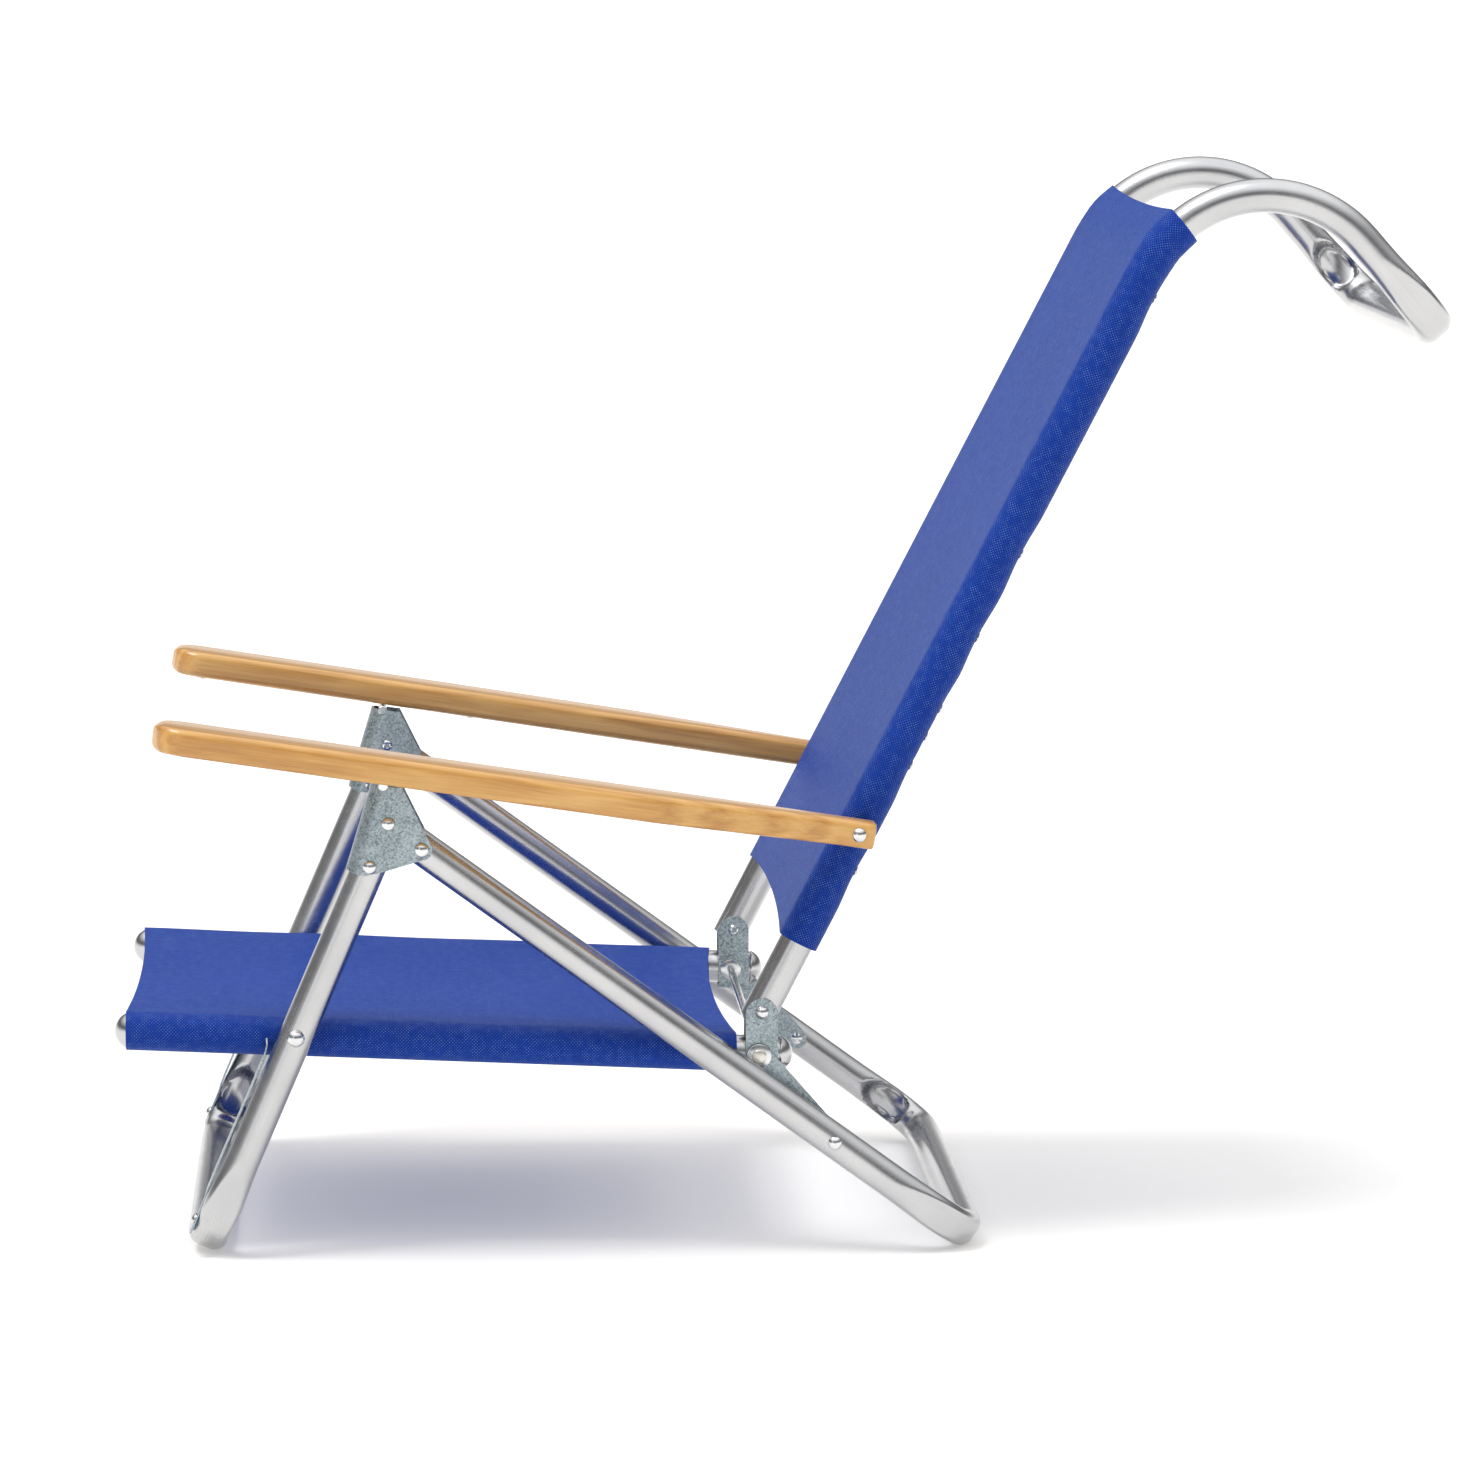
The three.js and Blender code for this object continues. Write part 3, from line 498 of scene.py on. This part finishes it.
def plain_tube(name, start, end, material, body, stands_for):
    start, end = np.array(start, float), np.array(end, float)
    axis = (end - start) / np.linalg.norm(end - start)
    up = np.cross(axis, (1.0, 0, 0))
    phi = np.arange(TUBE_RING) * 2 * math.pi / TUBE_RING
    wheel = np.outer(np.cos(phi), (1.0, 0, 0)) + np.outer(np.sin(phi), up)
    count = 16
    centres = [start + (end - start) * i / count for i in range(count + 1)]
    rings = [c + wheel * R for c in centres]
    lengths = [float(np.linalg.norm(c - start)) for c in centres]
    rings, lengths = open_ends(rings, lengths, centres)
    return rings_piece(name, rings, lengths, material, body, "aluminium_tube", stands_for, sharp=50)


top = along(LEG_PIVOT, FRONT_ANGLE, 180)
u_frame("front_leg_tube", LEG_X, [(*top, FRONT_ANGLE - 180)], FRONT_FOOT, FRONT_ANGLE - 180, TUBE,
        "front_legs", ["front_leg_frame"])
top = along(BRACKET_PIVOT, REAR_ANGLE, -8)
u_frame("rear_leg_tube", LEG_X, [(*top, REAR_ANGLE)], REAR_FOOT, REAR_ANGLE, TUBE, "rear_legs",
        ["rear_leg_frame"], half_a=10.4, half_b=13.6)

foot = along(BACK_PIVOT, BACK_ANGLE, -8)
side_path = [(*along(foot, BACK_ANGLE, d), BACK_ANGLE) for d in np.linspace(0, 600, 24)]
for i in range(31):
    turn = HOOK_SWEEP * i / 30
    side_path.append((*along(HOOK_CENTRE, BACK_ANGLE + 90 - turn, HOOK_RADIUS), BACK_ANGLE - turn))
hook_end = BACK_ANGLE - HOOK_SWEEP
u_frame("back_tube", RAIL_X, side_path, along(side_path[-1][:2], hook_end, 87), hook_end, TUBE, "back",
        ["back_frame"])

for tag, s in SIDES.items():
    plain_tube(f"seat_rail_tube_{tag}", (s * RAIL_X, RAIL_FRONT, rail_height(RAIL_FRONT)),
               (s * RAIL_X, RAIL_REAR, rail_height(RAIL_REAR)), TUBE, "seat", [f"seat_rail_{tag}"])
    for where, y, way in (("front", RAIL_FRONT, -1), ("rear", RAIL_REAR, 1)):
        profile = [(-12, 10.8), (0.3, 10.8), (0.3, 12.9), (0.7, 13.1), (1.6, 13.1)] + dome(1.6, 13.0, 8.6, 12)
        axis = (0, way * math.cos(rad(RAIL_TILT)), way * math.sin(rad(RAIL_TILT)))
        lathe(f"end_plug_{where}_{tag}", profile, (s * RAIL_X, y, rail_height(y)), axis, PLUG, "seat",
              "aluminium_tube", [f"rail_plug_{where}_{tag}"], segments=48)

# ---------------------------------------------------------------- rivets, axle, bolts

for tag, s in SIDES.items():
    rivet(f"leg_rivet_{tag}", LEG_PIVOT, 197, 253, STEEL, "seat", "steel_fastener",
          [f"leg_pivot_rivet_{tag}"], s, head=6.4, low_head=6.4, high=4.4)
    rivet(f"plate_rivet_top_{tag}", RIVET_TOP, 225.2, 254.8, STEEL, "front_legs", "steel_fastener",
          [f"bracket_rivet_top_{tag}"], s, low=1.6, ring=True)
    rivet(f"plate_rivet_bottom_{tag}", RIVET_BOTTOM, 225.2, 254.8, STEEL, "front_legs", "steel_fastener",
          [f"bracket_rivet_bottom_{tag}"], s, low=1.6, ring=True)
    rivet(f"plate_rivet_pivot_{tag}", BRACKET_PIVOT, 225.2, 254.8, STEEL, "front_legs", "steel_fastener",
          [f"rear_leg_pivot_rivet_{tag}"], s, head=5.4, low=1.6, ring=True)
    rivet(f"back_rivet_{tag}", BACK_PIVOT, 194.9, 225.1, STEEL, "back", "steel_fastener",
          [f"back_pivot_rivet_{tag}"], s, low=1.6, ring=True)
    profile = [(227.9, 0.1), (227.9, 2.5), (253.0, 2.5), (253.0, 5)] + dome(253.4, 5, 2.9)
    lathe(f"tie_rivet_{tag}", [(s * at, r) for at, r in profile], (0, *LINK_PIVOT), (1, 0, 0), STEEL,
          "rear_legs", "steel_fastener", [f"link_rivet_{tag}"])
    profile = list(reversed(dome(224.6, 4.4, 1.6, way=-1))) + [(224.8, 2.5), (227.0, 2.5), (227.0, 0.1)]
    lathe(f"tie_rivet_head_{tag}", [(s * at, r) for at, r in profile], (0, *LINK_PIVOT), (1, 0, 0), STEEL,
          "rear_links", "steel_fastener", [f"link_rivet_head_{tag}"])
    profile = [(194.0, 0.1), (194.0, 4.2), (194.6, 5), (197.0, 5), (197.0, 3), (250.3, 3), (250.3, 5.2)]
    profile += dome(250.9, 5.2, 2.9)
    lathe(f"arm_bolt_{tag}", [(s * at, r) for at, r in profile], (0, *ARM_PIVOT), (1, 0, 0), STEEL,
          "back", "steel_fastener", [f"arm_pivot_bolt_{tag}"])
    profile = [(225.3, 0.1), (225.3, 3.1), (225.7, 3.5), (254.5, 3.5), (254.9, 3.1), (254.9, 0.1)]
    lathe(f"rest_pin_{tag}", [(s * at, r) for at, r in profile], (0, *REST_PIN), (1, 0, 0), STEEL,
          "front_legs", "steel_fastener", [f"arm_rest_pin_{tag}"])
    profile = [(223, 3.1), (223, 5.7), (223.3, 6), (226.7, 6), (227, 5.7), (227, 3.1)]
    lathe(f"spacer_{tag}", [(s * at, r) for at, r in profile], (0, *LEG_PIVOT), (1, 0, 0), ROD,
          "seat", "zinc_plate", [f"leg_pivot_spacer_{tag}"])
    for which, at, thick, radius in (("inner", 193.7, 1.2, 8), ("outer", 227.3, 1.2, 9)):
        profile = [(at, 3.3), (at, radius - 0.4), (at + 0.3, radius), (at + thick - 0.3, radius),
                   (at + thick, radius - 0.4), (at + thick, 3.3)]
        lathe(f"washer_{which}_{tag}", [(s * a, r) for a, r in profile], (0, *REAR_AXLE), (1, 0, 0), ROD,
              "seat", "zinc_plate", [f"axle_washer_{which}_{tag}"])
    profile = [(228.8, 3.2), (228.8, 5.0), (229.2, 5.4), (231.1, 5.4), (231.7, 4.9), (232.0, 4.2),
               (232.05, 0.1)]
    lathe(f"axle_cap_round_{tag}", [(s * a, r) for a, r in profile], (0, *REAR_AXLE), (1, 0, 0), CAP,
          "seat", "steel_fastener", [f"axle_cap_{tag}"])
profile = [(-230.6, 0.1), (-230.6, 2.6), (-230.2, 3)] + [(x, 3) for x in range(-210, 211, 30)]
profile += [(230.2, 3), (230.6, 2.6), (230.6, 0.1)]
lathe("axle_rod", profile, (0, *REAR_AXLE), (1, 0, 0), ROD, "seat", "steel_fastener", ["rear_axle_rod"])

# ---------------------------------------------------------------- plates


def span(polygon, at):
    """Where a closed outline of (across, up) points lies above and below one place across."""
    heights = []
    for (x0, y0), (x1, y1) in zip(polygon, polygon[1:] + polygon[:1]):
        if (x0 - at) * (x1 - at) <= 0 and x0 != x1:
            heights.append(y0 + (y1 - y0) * (at - x0) / (x1 - x0))
    return min(heights), max(heights)


CHEEK_LOW = (-323.6, 290.0)
CHEEK_FOOT = [(-317.8, 286.4), (-309, 285.4), (-296, 288.3), (-267, 296.8)]
CHEEK_FOLD = 73.4


def leg_bracket(tag, s):
    """One sheet folded round the front of the leg, with two triangular cheeks."""
    thick = 1.5
    mid, fold, low = R + 0.3 + thick / 2, CHEEK_FOLD, CHEEK_LOW
    up_to = REST_PIN[1] + 0.4
    fold_top = along(low, fold, (up_to - low[1]) / math.sin(rad(fold)))
    tilt = math.tan(rad(-ARM_TILT))
    outline = [low] + CHEEK_FOOT
    outline += [along(BRACKET_PIVOT, a, 7.8) for a in range(-80, 26, 8)]
    outline += [(-283.4, 352), (-284.6, up_to + tilt * (-284.6 - REST_PIN[0])),
                (fold_top[0], up_to + tilt * (fold_top[0] - REST_PIN[0]))]
    base = np.array(along(low, fold - 90, R + 1.8))
    rear, up = (np.array((math.cos(rad(a)), math.sin(rad(a)))) for a in (fold - 90, fold))
    local = [((np.array(p) - base) @ rear, (np.array(p) - base) @ up) for p in outline]
    deepest = max(p[0] for p in local) - 0.35
    cheek = deepest * (1 - (1 - np.linspace(0, 1, 26)) ** 1.6)
    path = [(LEG_X + mid, c) for c in cheek[::-1]]
    round_leg = np.linspace(math.pi / 2, -math.pi / 2, 21)[1:-1]
    path += [(LEG_X + mid * math.sin(a), -mid * math.cos(a)) for a in round_leg]
    path += [(LEG_X - mid, c) for c in cheek]
    grid = []
    for x, c in path:
        bottom, high = span(local, max(c, min(p[0] for p in local) + 0.3))
        line = []
        for share in np.linspace(0, 1, 20):
            y, z = base + rear * c + up * (bottom + (high - bottom) * share)
            line.append((s * x, y, z))
        grid.append(line)
    made = slab(f"bracket_{tag}", grid, thick, ZINC, "front_legs", "zinc_plate", [f"leg_bracket_{tag}"])
    soften(made, 0.35)


def soften(made, width):
    """A small round on the hard edges, as on a stamped plate."""
    bevel = made.modifiers.new("edges", "BEVEL")
    bevel.width = width / 1000
    bevel.segments = 2
    bevel.limit_method = "ANGLE"
    bevel.angle_limit = rad(50)


def hinge_stirrup(tag, s):
    """A strap bent into a U under the rail, with round-topped ears on both sides of the back tube."""
    out, bottom, corner = 13.9, rail_height(REAR_AXLE[0]) - R - 2.2, 5.0
    ear, ear_centre = 12, 176
    path = [(out, z) for z in ear_centre + (ear - 0.1) * np.sin(np.linspace(math.pi / 2, 0, 9))]
    path += [(out, z) for z in np.linspace(ear_centre - 6, bottom + corner, 6)]
    path += [(out - corner + corner * math.cos(a), bottom + corner - corner * math.sin(a))
             for a in np.linspace(0, math.pi / 2, 7)[1:]]
    path += [(-x, z) for x, z in reversed(path)]
    grid = []
    for x, z in path:
        half = math.sqrt(max(ear ** 2 - (z - ear_centre) ** 2, 1.0)) if z > ear_centre else ear
        grid.append([(s * (RAIL_X + x), BACK_PIVOT[0] + half * t, z) for t in np.linspace(-1, 1, 9)])
    made = slab(f"stirrup_{tag}", grid, 1.8, ZINC, "seat", "zinc_plate", [f"back_hinge_stirrup_{tag}"])
    soften(made, 0.4)


def tie_link(tag, s):
    """A flat bar with round ends from the axle to the rear leg."""
    start, end = np.array(REAR_AXLE), np.array(LINK_PIVOT)
    length = float(np.linalg.norm(end - start))
    run = (end - start) / length
    across = np.array((-run[1], run[0]))
    grid = []
    places = list(9 * -np.cos(np.linspace(0.08, math.pi / 2, 9))) + list(np.linspace(6, length - 6, 10))
    places += list(length + 8 * np.sin(np.linspace(0, math.pi / 2 - 0.08, 9)))
    for at in places:
        if at < 0:
            half = math.sqrt(81 - at * at)
        elif at > length:
            half = math.sqrt(64 - (at - length) ** 2)
        else:
            half = 9 - at / length
        grid.append([(s * 226.05, *(start + run * at + across * half * t)) for t in np.linspace(-1, 1, 7)])
    made = slab(f"link_{tag}", grid, 1.9, ZINC, "rear_links", "zinc_plate", [f"rear_link_{tag}"])
    soften(made, 0.4)


def leg_strap(tag, s):
    """A thin spring strap down the front of the leg, flared at its free end and screwed at its foot."""
    down = np.array((math.cos(rad(FRONT_ANGLE - 180)), math.sin(rad(FRONT_ANGLE - 180))))
    front = np.array((math.cos(rad(FRONT_ANGLE + 90)), math.sin(rad(FRONT_ANGLE + 90))))
    knots = np.array([(11, 19.0), (15, 16.9), (22, 15.5), (32, 15.2), (80, 15.3), (124, 15.2), (132, 15.0),
                      (137, 14.2), (142, 13.95), (166, 13.95)])
    places = np.concatenate([11 + 5.5 * (1 - np.cos(np.linspace(0.1, math.pi / 2, 7))),
                             np.linspace(20, 128, 19), np.linspace(130, 166, 16)])
    grid = []
    for at in places:
        lift = float(np.interp(at, knots[:, 0], knots[:, 1]))
        half = 6.0
        if at < 17:
            half = max(math.sqrt(max(36 - (17 - at) ** 2, 1)), 1.2)
        if 128 < at < 140:
            half = 4.4
        spot = np.array(LEG_PIVOT) + down * at + front * lift
        grid.append([(s * (233 + half * t), *spot) for t in np.linspace(-1, 1, 5)])
    made = slab(f"strap_{tag}", grid, 1.3, STRAP, "front_legs", "zinc_plate", [f"spring_strap_{tag}"])
    soften(made, 0.3)
    spot = np.array(LEG_PIVOT) + down * 156
    profile = [(1, 2), (14.9, 2), (14.9, 4.6)] + dome(15.3, 4.5, 2.2)
    lathe(f"strap_screw_{tag}", profile, (s * 231, *spot), (0, *front), STEEL, "front_legs", "zinc_plate",
          [f"spring_strap_screw_{tag}"])


for tag, s in SIDES.items():
    leg_bracket(tag, s)
    hinge_stirrup(tag, s)
    tie_link(tag, s)
    leg_strap(tag, s)

# ---------------------------------------------------------------- arms

FORWARD = np.array((0, math.cos(rad(ARM_ANGLE)), math.sin(rad(ARM_ANGLE))))
UPWARD = np.array((0, math.sin(rad(ARM_TILT)), math.cos(rad(ARM_TILT))))


ARM_NOSE = 494
ARM_THICK = 20.0


def arm_edges(at):
    """The board's inner and outer edge at a distance from the bolt."""
    inner = np.interp(at, [-12, 151, ARM_NOSE], [226, 226, 231])
    outer = np.interp(at, [-12, 14, 151, ARM_NOSE], [250, 250, 277, 289])
    if at > ARM_NOSE:
        share = (at - ARM_NOSE) / 28
        half = (outer - inner) / 2 * (1 - share ** 2.4) ** (1 / 2.1)
        return 260 - half, 260 + half
    return inner, outer


def arm_ring(at, inset):
    inner, outer = arm_edges(at)
    inner, outer, half = inner + inset, outer - inset, ARM_THICK / 2 - inset
    round_it = min(5.5, (outer - inner) / 2 - 0.05, half - 0.05)
    loop = []
    right, left, high = outer - round_it, inner + round_it, half - round_it
    for cx, cz, start in ((right, high, 0), (left, high, 90), (left, -high, 180), (right, -high, 270)):
        for k in range(7):
            a = rad(start + 15 * k)
            loop.append((cx + round_it * math.cos(a), cz + round_it * math.sin(a)))
    return loop


def arm(tag, s):
    places = [(-12, 2.6), (-11.7, 1.4), (-11.0, 0.5), (-9.6, 0)]
    places += [(at, 0) for at in (-4, 4, 10, 14, 18, 30, 60, 90, 120, 140, 148, 154, 162, 180)]
    places += [(at, 0) for at in range(210, 481, 30)] + [(at, 0) for at in (488, 494, 498, 502, 506, 509.5)]
    for k in range(1, 8):
        turn = rad(90 * k / 8)
        places.append((511 + 10.3 * math.sin(turn), 5.5 * (1 - math.cos(turn))))
    rings, lengths = [], []
    origin = np.array((0, *ARM_PIVOT))
    for at, inset in places:
        loop = [origin + FORWARD * at + UPWARD * h + np.array((s * x, 0, 0)) for x, h in arm_ring(at, inset)]
        rings.append(loop)
        lengths.append(at)
    rings_piece(f"arm_board_{tag}", rings, lengths, WOOD, f"arm_{tag}", "varnished_wood", [f"arm_{tag}"],
                sharp=60)
    for which, at in (("rear", 280), ("front", 496)):
        spot = origin + FORWARD * at + np.array((s * 248, 0, 0)) - UPWARD * (ARM_THICK / 2)
        profile = [(-12, 1.9), (0.25, 1.9), (0.25, 4.6)] + dome(0.6, 4.6, 2.6)
        lathe(f"arm_screw_{which}_round_{tag}", profile, spot, -UPWARD, STEEL, f"arm_{tag}", "zinc_plate",
              [f"arm_screw_{which}_{tag}"])


for tag, s in SIDES.items():
    arm(tag, s)
    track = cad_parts[f"arm_track_{tag}"]
    track.data.materials.clear()
    track.data.materials.append(ZINC)

# ---------------------------------------------------------------- slings

SLEEVE = R + 1.25
CLOTH = 1.1
HEM_TURN = 262.0
SEAT_HEM, BACK_HEM = 20, 16
SEAT_FRONT, SEAT_REAR = -486.2, -36.5


def sleeve_path(hem, belly):
    """Half of a sling's section from its middle to its hem: (across, out), out being away from the
    sitter's side. The cloth lies over the tube, goes round its outside and back under the panel."""
    path = [(x, SLEEVE - belly * (1 - (x / RAIL_X) ** 2)) for x in np.linspace(0, RAIL_X, 34)]
    for a in np.linspace(0, HEM_TURN, 40)[1:]:
        path.append((RAIL_X + SLEEVE * math.sin(rad(a)), SLEEVE * math.cos(rad(a))))
    x0, h0 = path[-1]
    for share in np.linspace(0, 1, 9)[1:]:
        path.append((x0 - hem * share, h0 + (SLEEVE - 2.6 - h0) * math.sin(share * math.pi / 2)))
    return path


def whole_path(half):
    return [(-x, h) for x, h in reversed(half[1:])] + half


def hollow(x):
    """How far a sling's cut edge has drawn in at a place across it: 1 in the middle, 0 at a tube."""
    return max(0.0, 1 - (abs(x) / (RAIL_X + 2)) ** 2.2)


def path_length(path):
    return sum(math.dist(a, b) for a, b in zip(path, path[1:]))


def seat_sling():
    half = sleeve_path(SEAT_HEM, belly=2.2)
    path = whole_path(half)
    grid = []
    rows = 60
    for i in range(rows + 1):
        share = i / rows
        line = []
        for x, h in path:
            inside = hollow(x)
            front = SEAT_FRONT + 4.5 * inside
            rear = SEAT_REAR - 8.0 * inside
            y = front + (rear - front) * share
            ripple = 0.25 * math.sin(y * 0.045 + x * 0.07) * smooth(abs(x), 150, 205)
            line.append((x, y, rail_height(y) + h + (ripple if h > 0 else 0)))
        grid.append(line)
    made = slab("seat_cloth", grid, CLOTH, SLING, "seat", "blue_sling", ["seat_sling"], sharp=60)
    return made, path_length(path)


SCREWS_ALONG_BACK = (123.5, 211.7, 235.8, 258.8, 318, 387.5, 598.6)
BACK_START = 57.5
BACK_WRAP = 24.0


def back_place(along_back, out):
    """A point at a distance along the back and out in front of its tubes, following the hook."""
    if along_back <= BACK_STRAIGHT:
        spot = along(BACK_PIVOT, BACK_ANGLE, along_back)
        return along(spot, BACK_ANGLE + 90, out)
    turn = math.degrees((along_back - BACK_STRAIGHT) / HOOK_RADIUS)
    return along(HOOK_CENTRE, BACK_ANGLE + 90 - turn, HOOK_RADIUS + out)


def back_sling():
    half = sleeve_path(BACK_HEM, belly=1.6)
    path = whole_path(half)
    end = BACK_STRAIGHT + rad(BACK_WRAP) * HOOK_RADIUS
    grid = []
    rows = 110
    for i in range(rows + 1):
        share = i / rows
        line = []
        for x, h in path:
            inside = hollow(x)
            low = BACK_START + 7 * inside
            high = end - 3 * inside
            at = low + (high - low) * share
            nearest = min(abs(at - s) for s in SCREWS_ALONG_BACK)
            behind = max(0.0, -h / SLEEVE) if abs(x) > 150 else 0.0
            puff = 1.5 * behind * float(smooth(nearest, 4, 34))
            near_hook = float(smooth(at, 600, 650)) * float(smooth(abs(x), 190, 222))
            crease = 0.5 * math.sin(at * 0.19 + x * 0.3) * near_hook
            line.append((x, *back_place(at, h - puff + crease)))
        grid.append(line)
    made = slab("back_cloth", grid, CLOTH, SLING, "back", "blue_sling", ["back_sling"], sharp=60)
    return made, path_length(path), end - BACK_START


seat_cloth, seat_width = seat_sling()
back_cloth, back_width, back_length = back_sling()
for tag, s in SIDES.items():
    for k, at in enumerate(SCREWS_ALONG_BACK):
        y, z = back_place(at, -(SLEEVE + 0.3))
        y0, z0 = back_place(at, 0)
        axis = np.array((0, y - y0, z - z0)) / math.hypot(y - y0, z - z0)
        spot = np.array((s * RAIL_X, y, z))
        profile = [(-3, 1.6), (0.4, 1.6), (0.4, 3.6)] + dome(0.7, 3.6, 1.7)
        lathe(f"hem_screw_{tag}_{k}", profile, spot, axis, STEEL, "back",
                                "steel_fastener", segments=24)

# ---------------------------------------------------------------- floor, light, camera


def stage_floor():
    mesh = bpy.data.meshes.new("floor")
    reach = 90.0
    mesh.from_pydata([(-reach, -reach, 0), (reach, -reach, 0), (reach, reach, 0), (-reach, reach, 0)], [],
                     [(0, 1, 2, 3)])
    t = Tree("pale_floor")
    t.set(Base_Color=(0.76, 0.745, 0.715, 1), Roughness=0.8, Specular_IOR_Level=0.1,
          Emission_Color=(1, 1, 1, 1), Emission_Strength=0.30)
    mesh.materials.append(t.material)
    floor = bpy.data.objects.new("floor", mesh)
    floor.location.z = -0.0003
    bpy.context.scene.collection.objects.link(floor)


def area_light(name, place, aim, size, watts):
    data = bpy.data.lights.new(name, "AREA")
    data.shape = "RECTANGLE"
    data.size, data.size_y = size
    data.energy = watts
    lamp = bpy.data.objects.new(name, data)
    lamp.location = place
    lamp.rotation_mode = "QUATERNION"
    lamp.rotation_quaternion = (Vector(aim) - Vector(place)).to_track_quat("-Z", "Y")
    bpy.context.scene.collection.objects.link(lamp)


def sky():
    """A studio's surroundings: bright overhead and at the horizon, dark walls between, so that metal
    has something to show."""
    world = bpy.data.worlds.new("studio")
    bpy.context.scene.world = world
    world.use_nodes = True
    nodes, links = world.node_tree.nodes, world.node_tree.links
    background = nodes["Background"]
    coords = nodes.new("ShaderNodeTexCoord")
    split = nodes.new("ShaderNodeSeparateXYZ")
    links.new(coords.outputs["Generated"], split.inputs[0])
    ramp = nodes.new("ShaderNodeValToRGB")
    elements = ramp.color_ramp.elements
    stops = [(0.0, 1.0), (0.10, 1.0), (0.17, 0.24), (0.40, 0.18), (0.62, 0.75), (0.80, 1.35),
             (1.0, 1.45)]
    while len(elements) < len(stops):
        elements.new(0.5)
    for element, (at, value) in zip(elements, stops):
        element.position = at
        element.color = (value, value, value * 1.01, 1)
    links.new(split.outputs["Z"], ramp.inputs[0])
    links.new(ramp.outputs[0], background.inputs["Color"])
    background.inputs["Strength"].default_value = 1.0


def sun(name, direction, strength, spread):
    """An even light over the whole floor; the spread, in degrees, softens its shadow."""
    data = bpy.data.lights.new(name, "SUN")
    data.energy = strength
    data.angle = rad(spread)
    lamp = bpy.data.objects.new(name, data)
    lamp.rotation_mode = "QUATERNION"
    lamp.rotation_quaternion = Vector(direction).to_track_quat("-Z", "Y")
    bpy.context.scene.collection.objects.link(lamp)


stage_floor()
sky()
sun("key", (-0.16, 0.36, -1.0), 1.7, 24)
area_light("side", (3.6, -2.4, 1.5), (0.0, 0.0, 0.35), (1.0, 2.2), 5)

camera = bpy.data.cameras.new("camera")
camera.sensor_width = 36.0
camera.lens = 174.1
camera.clip_start, camera.clip_end = 0.1, 400
eye = bpy.data.objects.new("camera", camera)
eye.location = (5.3913, -0.2978, 1.0033)
eye.rotation_mode = "QUATERNION"
eye.rotation_quaternion = Vector((-0.99168, 0.04972, -0.11875)).to_track_quat("-Z", "Y")
bpy.context.scene.collection.objects.link(eye)
bpy.context.scene.camera = eye
bpy.context.scene.view_settings.view_transform = "Standard"
